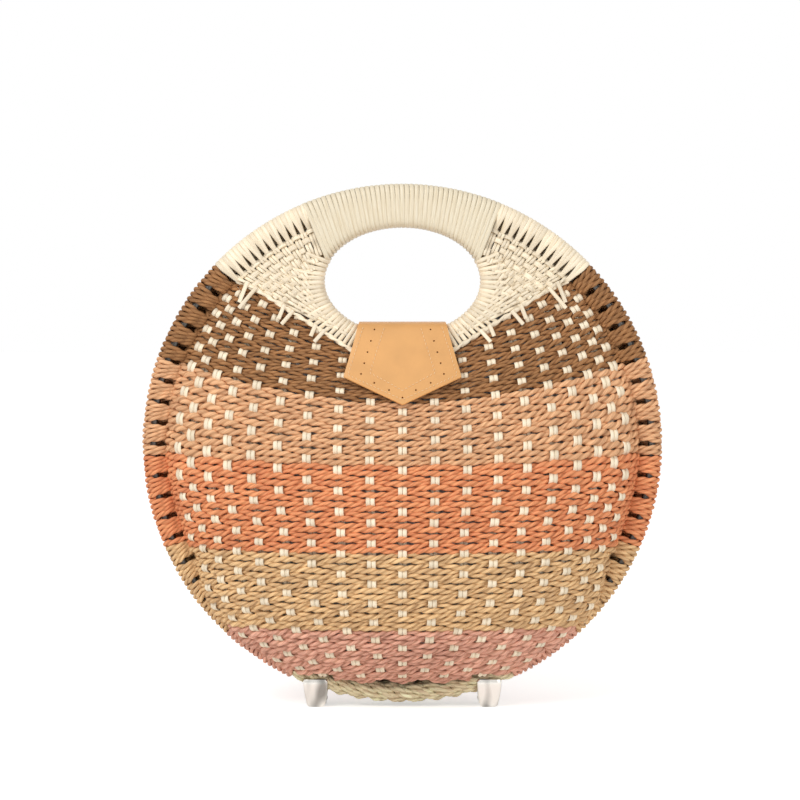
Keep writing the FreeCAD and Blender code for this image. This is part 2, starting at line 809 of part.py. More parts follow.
def make_stitching():
    margin = size("stitch_margin")
    top = size("tab_bottom_rise") - margin
    neck = size("tab_neck_half_width") - margin
    corner = size("tab_corner_half_width") - margin
    edge = [
        on_panel(-neck, top), on_panel(-corner, size("tab_corner_rise")),
        on_panel(0, size("tab_tip_rise") + margin),
        on_panel(corner, size("tab_corner_rise")), on_panel(neck, top),
    ]
    patch_top = size("patch_top_half_width")
    patch_corner = size("patch_corner_half_width")
    patch = [
        on_panel(-patch_top, top), on_panel(-patch_corner, size("patch_corner_rise")),
        on_panel(0, size("patch_tip_rise")),
        on_panel(patch_corner, size("patch_corner_rise")), on_panel(patch_top, top),
    ]
    tab_bars = Part.makeCompound(stitch_line(edge) + stitch_line(patch))
    keep(fixed_shape("tab_bars", tab_bars), "tab_stitching")

    low = size("strap_end_rise") + margin
    frame = [on_panel(-neck, top), on_panel(-neck, low), on_panel(neck, low), on_panel(neck, top)]
    drawn = fixed_shape("strap_bars", Part.makeCompound(stitch_line(frame)))
    keep(mirrored("strap_bars_turned", drawn, PARTING_NORMAL), "strap_stitching")


def make_snap():
    """Two thin discs that meet between the tab and the front shell."""
    sizes_of_disc = {"Radius": "sizes.snap_radius", "Height": "sizes.snap_thickness"}
    rise = size("snap_rise")
    out_of_dome = Vector(0, -1, -dome_slope(rise)).normalize()
    stud = add("Cylinder", "snap_stud_disc", sizes_of_disc)
    seat = side_point(dome_depth(rise), rise) + out_of_dome * size("snap_lift")
    stud.Placement = Placement(seat, Rotation(Vector(0, 0, 1), out_of_dome))
    keep(stud, "snap_stud")

    into_tab = tab_normal() * -1
    panel = on_panel(0, rise) + into_tab * (size("leather_thickness") + size("seat_gap"))
    socket = add("Cylinder", "snap_socket_disc", sizes_of_disc)
    socket.Placement = Placement(panel, Rotation(Vector(0, 0, 1), into_tab))
    keep(socket, "snap_socket")


def check_and_write():
    doc.recompute()
    for item in doc.Objects:
        if "Invalid" in item.State or "Error" in item.State:
            raise RuntimeError("%s did not build: %s" % (item.Label, item.State))
    os.makedirs("parts", exist_ok=True)
    for item in nodes:
        shape = item.Shape
        if shape.isNull() or not shape.isValid():
            raise RuntimeError("%s has no valid shape" % item.Label)
        shape.exportStep("parts/%s.step" % item.Label)
        print("%s: %d solids, %.1f mm3" % (item.Label, len(shape.Solids), shape.Volume))


fill_sheet()
make_hoops()
handle_room = handle_slice("handle_room", "0", "sizes.zone_depth")
hole = oval_prism("hand_hole", "0", "0", "sizes.zone_depth")
rim_wire_room = rim_ring("rim_wire_room", "sizes.rim_wire_radius + sizes.seat_gap")
hand_strip_room = hand_strip("hand_cane_room", "sizes.seat_gap")
make_handle(hole, rim_wire_room, hand_strip_room)
make_hole_binding(handle_room, hole, hand_strip_room)
make_woven_shell(make_blank_shell(handle_room, rim_wire_room))
make_warps()
make_lining()
make_hinges()
make_tab()
make_strap()
make_stitching()
make_snap()
check_and_write()
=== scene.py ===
import math
import random

import bmesh
import bpy
from mathutils import Matrix, Vector


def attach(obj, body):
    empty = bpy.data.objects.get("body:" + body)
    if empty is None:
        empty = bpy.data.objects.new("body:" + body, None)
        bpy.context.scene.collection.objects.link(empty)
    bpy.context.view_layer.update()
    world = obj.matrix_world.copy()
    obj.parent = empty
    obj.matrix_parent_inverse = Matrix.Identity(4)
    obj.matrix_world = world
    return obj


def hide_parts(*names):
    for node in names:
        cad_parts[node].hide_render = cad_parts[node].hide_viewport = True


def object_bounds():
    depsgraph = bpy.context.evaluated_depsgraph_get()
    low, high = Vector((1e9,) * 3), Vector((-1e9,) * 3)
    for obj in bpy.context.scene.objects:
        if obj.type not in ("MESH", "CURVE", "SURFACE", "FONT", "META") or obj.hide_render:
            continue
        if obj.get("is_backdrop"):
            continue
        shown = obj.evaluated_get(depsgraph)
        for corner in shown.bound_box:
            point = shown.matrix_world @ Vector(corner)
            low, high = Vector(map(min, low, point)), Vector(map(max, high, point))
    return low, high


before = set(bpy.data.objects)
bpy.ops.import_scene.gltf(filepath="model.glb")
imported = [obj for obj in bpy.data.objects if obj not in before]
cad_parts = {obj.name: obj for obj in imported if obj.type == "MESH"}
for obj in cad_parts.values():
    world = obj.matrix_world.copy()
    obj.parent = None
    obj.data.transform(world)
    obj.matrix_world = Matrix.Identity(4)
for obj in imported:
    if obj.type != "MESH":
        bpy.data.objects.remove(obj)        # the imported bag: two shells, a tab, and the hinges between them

bl_info = {
    "name": "Circle bag",
    "version": (1, 0, 0),
    "blender": (4, 5, 0),
    "location": "3D View > Sidebar > Circle bag",
    "description": "Dresses a round clamshell bag in woven paper rope, reed, leather and metal",
    "category": "Object",
}

CAD_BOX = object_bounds()
MM = 0.001

# The bag faces -Y, the floor is z = 0, and lengths below are in millimetres
# A rise is a height above the centre of the round rim, and a depth is forward of the parting plane
CENTRE_HEIGHT = 152.0
BAG_RADIUS = 150.0
RIM_TUBE_RADIUS = 6.5
RIM_RADIUS = BAG_RADIUS - RIM_TUBE_RADIUS
RIM_BORE = RIM_RADIUS - RIM_TUBE_RADIUS
RIM_DEPTH = 7.0
RIM_FACE_DEPTH = RIM_DEPTH + RIM_TUBE_RADIUS

# The dome of the weave, deepest below the centre; low down its rows run out over the rim
DOME_BULGE = 41.0
DOME_PEAK_RISE = -49.95
DOME_TOP_RISE = 70.0
UPPER_CURVE = 1.5
LOWER_CURVE = 0.7
WEAVE_RADIUS = RIM_BORE - 0.5
WEAVE_SPREAD = 10.0
SPREAD_RISE = -58.0
SPREAD_DROP = 40.0

# The hinge clips under the rim
CLIP_OFFSET = 50.0
CLIP_HALF_WIDTH = 8.0
CLIP_TOP_RISE = -135.0

# The hand hole and the two lines on which the reed shoulders end
HOLE_HALF_WIDTH = 45.7
HOLE_HALF_HEIGHT = 31.0
HOLE_RISE = 94.0
BINDING_WIDTH = 10.0
SHOULDER_LINE_RISE = 36.45
SHOULDER_LINE_SLOPE = math.tan(math.radians(32.3))
SHOULDER_START = 27.0         # how far across, behind the tab, the reed shoulders begin
HANDLE_HALF_ANGLE = math.radians(22.2)
SHOULDER_END_ANGLE = math.radians(46.0)

# The leather tab's lowest point, and half its width at the side corners
TIP_RISE = 24.0
CORNER_HALF_WIDTH = 33.5

# Each colour of rope, from the top down, with the rise at the middle where it begins
PEACH_TOP_RISE = 25.05
ORANGE_TOP_RISE = -10.05
BANDS = (
    ("brown", BAG_RADIUS), ("peach", PEACH_TOP_RISE), ("orange", ORANGE_TOP_RISE),
    ("khaki", -57.0), ("pink", -105.0), ("cream", -137.5),
)
PEACH_SAG = 24.0
ORANGE_SAG = 4.05

# The columns of warp reeds: even steps round the dome, then near upright below the bend
COLUMN_REACH = 9              # columns on each side of the middle one
COLUMN_STEP = math.radians(7.8)
COLUMN_BEND_RISE = -45.0
COLUMN_NARROWING = 1.6
COLUMN_END_SHARE = 0.975      # columns stop at this share of a row's half width
SIDES = ("front", "back")


def linear(code):
    """An sRGB hex colour as linear red, green and blue."""
    channels = (int(code[i:i + 2], 16) / 255 for i in (1, 3, 5))
    return tuple(c / 12.92 if c <= 0.04045 else ((c + 0.055) / 1.055) ** 2.4 for c in channels)


def colour_property(name, description, code):
    """A colour that a user can change, given as sRGB hex."""
    return bpy.props.FloatVectorProperty(
        name=name, description=description, default=linear(code), size=3, min=0, max=1, subtype="COLOR")


def length_property(name, description, millimetres):
    """A length that a user can change, given in millimetres."""
    return bpy.props.FloatProperty(
        name=name, description=description, default=millimetres * MM, min=0, precision=5, unit="LENGTH")


class CircleBagSizes(bpy.types.PropertyGroup):
    """Sizes of the rope and reed, in metres"""
    rope: length_property("Rope", "Diameter of the twisted paper rope", 3.5)
    lay: length_property("Lay", "Length of rope in one turn of its two plies", 12.5)
    row: length_property("Row", "Height of a row of two ropes, along the weave", 5.9)
    reed: length_property("Reed", "Width of one of the two reeds of a warp", 2.4)
    reed_thickness: length_property("Reed thickness", "Thickness of a flat reed", 0.9)
    rim_pitch: length_property("Rim pitch", "Distance between turns of rope along the rim", 3.15)
    handle_pitch: length_property("Handle pitch", "Distance between turns of reed on the handle", 2.7)
    stitch_pitch: length_property("Stitch pitch", "Distance from one stitch to the next", 2.3)


class CircleBagColours(bpy.types.PropertyGroup):
    """Colours of the finishes"""
    brown: colour_property("Brown rope", "Uppermost rope", "#A8794E")
    peach: colour_property("Peach rope", "Second rope", "#EEB78A")
    orange: colour_property("Orange rope", "Third rope", "#FA9F6E")
    khaki: colour_property("Khaki rope", "Fourth rope", "#EFC491")
    pink: colour_property("Pink rope", "Fifth rope", "#F0B39B")
    cream: colour_property("Cream rope", "Lowest rope", "#FFE6BF")
    reed: colour_property("Reed", "Warps and shoulders", "#F9EBD2")
    handle: colour_property("Handle reed", "Fine reed on the handle", "#E9DEC6")
    leather: colour_property("Leather", "Tab and strap", "#D9A162")
    thread: colour_property("Thread", "Stitches in the leather", "#E9C391")
    lining: colour_property("Lining", "Cotton behind the weave", "#C9CACC")


def sizes():
    """The bag's sizes, as set in this scene."""
    return bpy.context.scene.circle_bag_sizes


def colours():
    """The bag's colours, as set in this scene."""
    return bpy.context.scene.circle_bag_colours


# The shape of a shell

SETTLING_ROUNDS = 6           # of the search for a row's rise


def half_width(rise):
    """Half the width of the weave, which ends in the rim and low down spreads over it."""
    share = min(1.0, max(0.0, (SPREAD_RISE - rise) / SPREAD_DROP))
    radius = WEAVE_RADIUS + WEAVE_SPREAD * share ** 2 * (3 - 2 * share)
    return math.sqrt(max(radius ** 2 - rise ** 2, 1e-6))


def dome_depth(rise):
    """Depth of the weave at the middle of a level."""
    if rise > DOME_PEAK_RISE:
        reach = DOME_TOP_RISE - DOME_PEAK_RISE
        power = UPPER_CURVE
    else:
        reach = RIM_BORE + DOME_PEAK_RISE
        power = LOWER_CURVE
    share = min(1.0, abs(rise - DOME_PEAK_RISE) / reach)
    return RIM_FACE_DEPTH + DOME_BULGE * (1 - share ** 2) ** power


def shell_point(turn, rise):
    """A point outside the front weave: turn is 0 at the right of the rim and pi at its left."""
    depth = RIM_DEPTH + (dome_depth(rise) - RIM_DEPTH) * math.sin(turn)
    return Vector((half_width(rise) * math.cos(turn), -depth, CENTRE_HEIGHT + rise))


def row_sag(level):
    """How much higher a row ends at the rim than at its middle."""
    if level < ORANGE_TOP_RISE:
        return ORANGE_SAG * max(0.0, 2 - level / ORANGE_TOP_RISE)
    share = (level - ORANGE_TOP_RISE) / (PEACH_TOP_RISE - ORANGE_TOP_RISE)
    return ORANGE_SAG + share * (PEACH_SAG - ORANGE_SAG)


def row_point(turn, level):
    """A point of the row that has this rise at its middle."""
    rise = level
    for _ in range(SETTLING_ROUNDS):
        across = half_width(rise) * math.cos(turn)
        rise = level + row_sag(level) * (across / RIM_BORE) ** 2
    return shell_point(turn, rise)


def outward_at(turn, level, point_at):
    """The direction that leaves the weave at a point of it."""
    nudge = 1e-3
    along = point_at(turn + nudge, level) - point_at(turn - nudge, level)
    up = point_at(turn, level + nudge) - point_at(turn, level - nudge)
    return up.cross(along).normalized()


def level_table():
    """Pairs of the distance up the middle of the weave and the rise there."""
    step = 0.25
    rise = -RIM_BORE + step
    distance = 0.0
    table = [(distance, rise)]
    while rise < DOME_TOP_RISE + step:
        rise += step
        distance += math.hypot(step, dome_depth(rise) - dome_depth(rise - step))
        table.append((distance, rise))
    return table


LEVELS = level_table()


def level_at(distance):
    """The rise at a distance up the middle of the weave."""
    for (low, rise), (high, next_rise) in zip(LEVELS, LEVELS[1:]):
        if distance <= high:
            return rise + (next_rise - rise) * (distance - low) / (high - low)
    return LEVELS[-1][1]


def oval_share(across, rise, extra):
    """Below 1 inside the hand hole's oval grown by this extra width."""
    return math.hypot(across / (HOLE_HALF_WIDTH + extra), (rise - HOLE_RISE) / (HOLE_HALF_HEIGHT + extra))


def shoulder_edge(across):
    """Rise of the line on which the reed work ends."""
    return SHOULDER_LINE_RISE + SHOULDER_LINE_SLOPE * abs(across)


def in_rope_weave(point):
    """Whether a point lies below the shoulders, outside the hole's binding and clear of the clips."""
    rise = point.z - CENTRE_HEIGHT
    room = 2.5
    below_shoulders = rise < shoulder_edge(max(abs(point.x), SHOULDER_START))
    beside_clips = abs(abs(point.x) - CLIP_OFFSET) > CLIP_HALF_WIDTH + room
    clear_of_clips = beside_clips or rise > CLIP_TOP_RISE + room
    return below_shoulders and clear_of_clips and oval_share(point.x, rise, BINDING_WIDTH) > 1


def column_reach(rise):
    """Half the width over which the columns spread at this rise."""
    drop = COLUMN_BEND_RISE - rise
    if drop < 0:
        return half_width(rise)
    return half_width(COLUMN_BEND_RISE) * (1 - COLUMN_NARROWING * (drop / BAG_RADIUS) ** 3)


def column_at(turn, rise):
    """The column at a place of a row, counted from the middle, with the shares between columns."""
    share = half_width(rise) * math.cos(turn) / column_reach(rise)
    return math.asin(max(-1.0, min(1.0, share))) / COLUMN_STEP


def column_turn(column, rise):
    """Where a column of reeds crosses this rise, or None where the row ends short of it."""
    share = column_reach(rise) * math.sin(column * COLUMN_STEP) / half_width(rise)
    return math.acos(share) if abs(share) < COLUMN_END_SHARE else None


# Guide lines, and the node trees that turn them into rope, reed and stitches

REED_CORNER = 0.541      # from the middle to a corner of an eight-sided reed one wide


def feed(tree, node, inputs):
    """Gives each of a node's inputs a value, or the output that feeds it."""
    for name, value in inputs.items():
        if isinstance(value, bpy.types.NodeSocket):
            tree.links.new(value, node.inputs[name])
        else:
            node.inputs[name].default_value = value


def add(tree, kind, inputs=None, out=0, stops=(), **settings):
    """Adds a node with its settings, inputs and ramp stops of place and colour; gives one output."""
    node = tree.nodes.new(kind)
    for name, value in settings.items():
        setattr(node, name, value)
    for number, (place, colour) in enumerate(stops):
        node.color_ramp.elements[number].position = place
        node.color_ramp.elements[number].color = colour
    feed(tree, node, inputs or {})
    return node.outputs[out]


def new_tree(name, lengths):
    """A node tree with a guide, a finish and these named lengths going in, and a mesh coming out."""
    tree = bpy.data.node_groups.new(name, "GeometryNodeTree")
    sockets = [("Guide", "Geometry"), ("Finish", "Material")] + [(label, "Float") for label in lengths]
    for label, kind in sockets:
        tree.interface.new_socket(label, in_out="INPUT", socket_type="NodeSocket" + kind)
    tree.interface.new_socket("Mesh", in_out="OUTPUT", socket_type="NodeSocketGeometry")
    return tree, add(tree, "NodeGroupInput").node.outputs


def finish_tree(tree, mesh, finish):
    """Ends a tree: smooth, real geometry with its finish."""
    shaded = add(tree, "GeometryNodeSetShadeSmooth", {"Geometry": mesh, "Shade Smooth": True})
    real = add(tree, "GeometryNodeRealizeInstances", {"Geometry": shaded})
    painted = add(tree, "GeometryNodeSetMaterial", {"Geometry": real, "Material": finish})
    feed(tree, tree.nodes.new("NodeGroupOutput"), {"Mesh": painted})
    return tree


def even_curves(tree, given):
    """The guide lines as curves of even steps, which keep the length along them; gives that length too."""
    lines = add(tree, "GeometryNodeMeshToCurve", {"Mesh": given["Guide"]})
    even = add(tree, "GeometryNodeResampleCurve", {"Curve": lines, "Length": given["Step"]}, mode="LENGTH")
    length = add(tree, "GeometryNodeSplineParameter", out="Length")
    marked = add(tree, "GeometryNodeStoreNamedAttribute",
                 {"Geometry": even, "Name": "along", "Value": length}, data_type="FLOAT", domain="POINT")
    return marked, length


def sweep(tree, curves, profile, finish):
    """Draws a profile along the curves, at the size of each point, and ends the tree."""
    size = add(tree, "GeometryNodeInputNamedAttribute", {"Name": "size"}, data_type="FLOAT")
    mesh = add(tree, "GeometryNodeCurveToMesh",
               {"Curve": curves, "Profile Curve": profile, "Scale": size, "Fill Caps": True})
    return finish_tree(tree, mesh, finish)


def rope_tree():
    """Two plies twisted along each guide line."""
    tree, given = new_tree("Twisted rope", ("Radius", "Lay", "Step", "Waist"))
    marked, length = even_curves(tree, given)
    turns = add(tree, "ShaderNodeMath", {0: length, 1: given["Lay"]}, operation="DIVIDE")
    lot = add(tree, "GeometryNodeInputNamedAttribute", {"Name": "lot"}, data_type="FLOAT")
    start = add(tree, "ShaderNodeMath", {0: turns, 1: lot}, operation="ADD")
    angle = add(tree, "ShaderNodeMath", {0: start, 1: -math.tau}, operation="MULTIPLY")
    twisted = add(tree, "GeometryNodeSetCurveTilt", {"Curve": marked, "Tilt": angle})

    profile = add(tree, "GeometryNodeCurvePrimitiveCircle", {"Resolution": 10, "Radius": 1.0})
    place = add(tree, "GeometryNodeInputPosition")
    axes = add(tree, "ShaderNodeSeparateXYZ", {0: place}).node.outputs
    crown = add(tree, "ShaderNodeMath", {0: axes["X"], 1: 2.0}, operation="POWER")
    around = add(tree, "ShaderNodeMath", {0: axes["Y"], 1: axes["X"]}, operation="ARCTAN2")
    for name, value in (("crown", crown), ("around", around)):
        profile = add(tree, "GeometryNodeStoreNamedAttribute",
                      {"Geometry": profile, "Name": name, "Value": value}, data_type="FLOAT", domain="POINT")
    stored = add(tree, "GeometryNodeInputNamedAttribute", {"Name": "crown"}, data_type="FLOAT")
    plies = add(tree, "ShaderNodeMapRange", {"Value": stored, "To Min": given["Waist"], "To Max": 1.0})
    reach = add(tree, "ShaderNodeMath", {0: plies, 1: given["Radius"]}, operation="MULTIPLY")
    drawn = add(tree, "ShaderNodeVectorMath", {0: place, "Scale": reach}, operation="SCALE")
    profile = add(tree, "GeometryNodeSetPosition", {"Geometry": profile, "Position": drawn})
    return sweep(tree, twisted, profile, given["Finish"])


def reed_tree():
    """A flat reed along each guide line, lying across the line's outward direction."""
    tree, given = new_tree("Flat reed", ("Width", "Thickness", "Step"))
    marked, _ = even_curves(tree, given)
    outward = add(tree, "GeometryNodeInputNamedAttribute", {"Name": "outward"}, data_type="FLOAT_VECTOR")
    facing = add(tree, "GeometryNodeSetCurveNormal", {"Curve": marked, "Normal": outward}, mode="FREE")

    ring = add(tree, "GeometryNodeCurvePrimitiveCircle", {"Resolution": 8, "Radius": REED_CORNER})
    place = add(tree, "GeometryNodeInputPosition")
    across = add(tree, "ShaderNodeSeparateXYZ", {0: place}, out="Y")
    rounded = add(tree, "GeometryNodeStoreNamedAttribute",
                  {"Geometry": ring, "Name": "around", "Value": across}, data_type="FLOAT", domain="POINT")
    squared = add(tree, "GeometryNodeTransform", {"Geometry": rounded, "Rotation": (0, 0, math.pi / 8)})
    section = add(tree, "ShaderNodeCombineXYZ", {"X": given["Thickness"], "Y": given["Width"], "Z": 1.0})
    profile = add(tree, "GeometryNodeTransform", {"Geometry": squared, "Scale": section})
    return sweep(tree, facing, profile, given["Finish"])


def stitch_tree():
    """Stitches of plump thread laid end to end along each guide line."""
    tree, given = new_tree("Stitches", ("Pitch", "Length", "Thickness"))
    lines = add(tree, "GeometryNodeMeshToCurve", {"Mesh": given["Guide"]})
    spots = add(tree, "GeometryNodeCurveToPoints", {"Curve": lines, "Length": given["Pitch"]}, mode="LENGTH")
    bead = add(tree, "GeometryNodeMeshUVSphere", {"Segments": 6, "Rings": 5, "Radius": 0.5})
    section = add(tree, "ShaderNodeCombineXYZ",
                  {"X": given["Thickness"], "Y": given["Thickness"], "Z": given["Length"]})
    stitch = add(tree, "GeometryNodeTransform", {"Geometry": bead, "Scale": section})
    placed = add(tree, "GeometryNodeInstanceOnPoints",
                 {"Points": spots, "Instance": stitch, "Rotation": spots.node.outputs["Rotation"]})
    return finish_tree(tree, placed, given["Finish"])


def add_object(name, data):
    """A new object in the scene."""
    piece = bpy.data.objects.new(name, data)
    bpy.context.scene.collection.objects.link(piece)
    return piece


def guide_object(name, lines):
    """Lines of (point, outward, size) in millimetres as a mesh of edges, with a lot number for each line."""
    lots = random.Random(name)
    points, edges, outward, size, lot = [], [], [], [], []
    for line in lines:
        first = len(points)
        number = lots.random()
        for place, direction, scale in line:
            points.append(place * MM)
            outward.extend(direction)
            size.append(scale)
            lot.append(number)
        edges.extend((i, i + 1) for i in range(first, len(points) - 1))
    mesh = bpy.data.meshes.new(name)
    mesh.from_pydata(points, edges, [])
    mesh.attributes.new("outward", "FLOAT_VECTOR", "POINT").data.foreach_set("vector", outward)
    for label, values in (("size", size), ("lot", lot)):
        mesh.attributes.new(label, "FLOAT", "POINT").data.foreach_set("value", values)
    return add_object(name, mesh)


def grow(name, lines, tree, finish, **lengths):
    """Runs a node tree along the lines and keeps the result as a plain mesh."""
    guide = guide_object(name, lines)
    modifier = guide.modifiers.new(tree.name, "NODES")
    modifier.node_group = tree
    given = {item.name: item.identifier for item in tree.interface.items_tree if item.in_out == "INPUT"}
    modifier[given["Finish"]] = finish
    for label, length in lengths.items():
        modifier[given[label]] = length
    evaluated = guide.evaluated_get(bpy.context.evaluated_depsgraph_get())
    mesh = bpy.data.meshes.new_from_object(evaluated)
    mesh.name = name
    guide.modifiers.remove(modifier)
    edges = guide.data
    guide.data = mesh
    bpy.data.meshes.remove(edges)
    if not mesh.polygons:
        raise RuntimeError("the node tree made nothing for " + name)
    return guide


def mirrored(lines):
    """The same lines on the back shell."""
    flip = Vector((1, -1, 1))
    return [[(place * flip, direction * flip, scale) for place, direction, scale in line] for line in lines]


def on_side(side, lines):
    """Lines of the front shell, taken to this side."""
    return lines if side == "front" else mirrored(lines)


def dress(piece, body, slot, *nodes):
    """Lets a piece ride on a body in place of these nodes; the slot is not used."""
    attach(piece, body)
    if nodes:
        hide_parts(*nodes)


def grow_on(side, name, nodes, slot, lines, tree, finish, **lengths):
    """Grows a piece along lines of one shell, in place of these nodes of that shell."""
    piece = grow(f"{side}_{name}", on_side(side, lines), tree, finish, **lengths)
    dress(piece, side + "_shell", slot, *(f"{side}_{node}" for node in nodes))


# The woven rope

WEAVE_MIDDLE = -1.6      # middle of the weave, below the outside of the shell
ROPE_SWING = 1.1         # how far a rope rises and dips over and under the warps
ROPE_SPREAD = 0.55       # how far the two ropes of a row part over a warp and close up under one
ROPE_WANDER = 0.3        # how far a rope strays from its row
WANDER_WAVES = 23
ROPE_SWELL = 0.08        # how much thicker a rope gets over a warp
LEAST_ROOM = 0.75        # limits of a rope's thickness where rows crowd or part, as a share of the usual
MOST_ROOM = 1.35
ROPE_WAIST = 0.62        # thickness between the two plies, as a share of the rope's
ROPE_STEP = 1.0
WARP_SWING = 1.9
TAB_PRESS = 1.6          # how far the tab presses the weave in
ROW_STEPS = 220
SHORTEST_LINE = 4        # points of the shortest line that is kept
BROWN_CLOSENESS = 0.8    # rows of brown are closer at the middle, because they spread towards the rim


def weave_lift(point):
    """Where the middle of the weave lies under a point of the shell: deeper behind the tab."""
    soft = 8.0
    beside = (abs(point.x) - CORNER_HALF_WIDTH) / soft
    below = (TIP_RISE - point.z + CENTRE_HEIGHT) / soft
    clear = min(1.0, max(0.0, beside, below))
    return WEAVE_MIDDLE - TAB_PRESS * (1 - clear)


def row_crowding(turn, distance):
    """How far apart the rows are here, as a share of their distance at the middle."""
    reach = 1.0
    low = row_point(turn, level_at(max(0.0, distance - reach)))
    high = row_point(turn, level_at(distance + reach))
    return (high - low).length / (2 * reach)


def band_at(level):
    """The colour of the row that has this rise at its middle."""
    return [colour for colour, top in BANDS if level < top][-1]


def rope_distances():
    """How far up the middle of the weave each rope lies, with its thickness as a share of the usual."""
    pitch = sizes().row / MM / 2
    distance = pitch / 2
    while distance < LEVELS[-1][0]:
        closeness = BROWN_CLOSENESS if level_at(distance) > PEACH_TOP_RISE else 1.0
        yield distance, closeness
        distance += pitch * closeness


def keep_line(lines, line):
    """Keeps a line that is long enough to show."""
    if len(line) >= SHORTEST_LINE:
        lines.append(line)


def dome_ropes():
    """Guide lines of the ropes across the dome, sorted by colour: two ropes make a row."""
    lines = {colour: [] for colour, top in BANDS}
    last_column = COLUMN_REACH + 0.5
    nudge = 0.5
    for number, (distance, closeness) in enumerate(rope_distances()):
        level = level_at(distance)
        row = number // 2
        upper = 2 * (number % 2) - 1
        stray = random.Random(number).uniform(0, math.tau)
        line = []
        for step in range(ROW_STEPS + 1):
            turn = math.pi * step / ROW_STEPS
            point = row_point(turn, level)
            if in_rope_weave(point):
                outward = outward_at(turn, level, row_point)
                column = column_at(turn, point.z - CENTRE_HEIGHT)
                column = max(-last_column, min(last_column, column))
                over = math.cos(math.pi * (column + row))
                up = row_point(turn, level + nudge) - row_point(turn, level - nudge)
                shift = upper * ROPE_SPREAD * over + ROPE_WANDER * math.sin(WANDER_WAVES * turn + stray)
                lift = weave_lift(point) + ROPE_SWING * over
                room = min(MOST_ROOM, max(LEAST_ROOM, closeness * row_crowding(turn, distance)))
                scale = room * (1 + ROPE_SWELL * over)
                line.append((point + outward * lift + up.normalized() * shift, outward, scale))
            else:
                keep_line(lines[band_at(level)], line)
                line = []
        keep_line(lines[band_at(level)], line)
    return lines


RIM_INNER_REACH = 4.0    # how much further a turn reaches in over the groove beside the dome
RIM_ROPE_REACH = 4.9     # from the middle of the rim to the middle of the rope round it
RIM_GROUP = 4            # turns of rope that share a gap in the weave
RIM_PINCH = 0.38         # how far a group draws together at that gap
TURN_STEPS = 22
CREAM_HALF_WIDTH = 62.0


def rim_angles():
    """Each colour's first and last angle on the rim, down from the top."""
    ends = [SHOULDER_END_ANGLE]
    for colour, level in BANDS[1:-1]:
        ends.append(math.acos((level + row_sag(level)) / RIM_RADIUS))
    ends.append(math.pi - math.asin(CREAM_HALF_WIDTH / RIM_RADIUS))
    ends.append(math.pi)
    return [(colour, first, last) for (colour, level), first, last in zip(BANDS, ends, ends[1:])]


def rim_point(angle, radius, depth):
    """A point of the front shell at an angle down from the top, round the middle of the bag."""
    return Vector((radius * math.sin(angle), -depth, CENTRE_HEIGHT + radius * math.cos(angle)))


def rim_winding(first, last, hand, shift):
    """A rope wound round a stretch of the rim, on one hand, its groups shifted by some turns."""
    pitch = sizes().rim_pitch / MM
    turns = max(1, round((last - first) * RIM_RADIUS / pitch))
    pitch = (last - first) * RIM_RADIUS / turns
    line = []
    for step in range(turns * TURN_STEPS + 1):
        turn = step / TURN_STEPS
        tube = math.pi - math.tau * turn
        group = (math.floor((turn + shift) / RIM_GROUP) + 0.5) * RIM_GROUP - shift
        pinch = RIM_PINCH * (1 - math.cos(tube)) / 2
        angle = first + (turn + (group - turn) * pinch) * pitch / RIM_RADIUS
        inner = max(0.0, -math.cos(tube))
        reach = RIM_ROPE_REACH + RIM_INNER_REACH * inner ** 2
        radius = RIM_RADIUS + reach * math.cos(tube)
        place = rim_point(hand * angle, radius, RIM_DEPTH + RIM_ROPE_REACH * math.sin(tube))
        line.append((place, (place - rim_point(hand * angle, RIM_RADIUS, RIM_DEPTH)).normalized(), 1.0))
    return line


BRAID_PLIES = 3
BRAID_LAY = 33.0         # length of the foot's braid in which a ply goes once round
BRAID_REACH = 4.5
STRAND_TURN = 0.55       # how far round the braid the outer ropes of a ply lie, in radians
STRAND_DROP = 0.9        # how much nearer to the middle they lie
STRAND_SIZE = 1.1


def foot_braid(first):
    """The thick twisted braid along the foot of the rim: three plies of three ropes each."""
    lines = []
    length = 2 * (math.pi - first) * RIM_RADIUS
    steps = round(length)
    for ply in range(BRAID_PLIES):
        for strand in (-1, 0, 1):
            line = []
            reach = BRAID_REACH - STRAND_DROP * abs(strand)
            for step in range(steps + 1):
                along = step / steps
                tube = math.tau * (ply / BRAID_PLIES + along * length / BRAID_LAY) + STRAND_TURN * strand
                angle = first + 2 * (math.pi - first) * along
                radius = RIM_RADIUS + reach * math.cos(tube)
                place = rim_point(angle, radius, RIM_DEPTH + reach * math.sin(tube))
                outward = place - rim_point(angle, RIM_RADIUS, RIM_DEPTH)
                line.append((place, outward.normalized(), STRAND_SIZE))
            lines.append(line)
    return lines


class CIRCLEBAG_OT_ropes(bpy.types.Operator):
    """Weave the striped rope of both shells, one piece for each colour, and bind it round the rims"""
    bl_idname = "circle_bag.ropes"
    bl_label = "Ropes"
    bl_options = {"REGISTER", "UNDO"}

    def execute(self, context):
        tree = rope_tree()
        dome = dome_ropes()
        for colour, first, last in rim_angles():
            finish = paper_rope(colour)
            for side in SIDES:
                shift = RIM_GROUP / 2 if side == "back" else 0
                if colour == "cream":
                    rim = foot_braid(first)
                else:
                    rim = [rim_winding(first, last, hand, shift) for hand in (1, -1)]
                grow_on(side, "rope_" + colour, ["weft_" + colour], "rope_" + colour,
                        dome[colour] + rim, tree, finish,
                        Radius=sizes().rope / 2, Lay=sizes().lay, Step=ROPE_STEP * MM, Waist=ROPE_WAIST)
        return {"FINISHED"}


# The warp reeds

REED_APART = 0.53        # from the middle of a column to each of its two reeds, in reed widths
ROW_MIDDLE = 0.25        # from the lower rope of a row to the middle of the row, in rows
WARP_STEP = 1.4


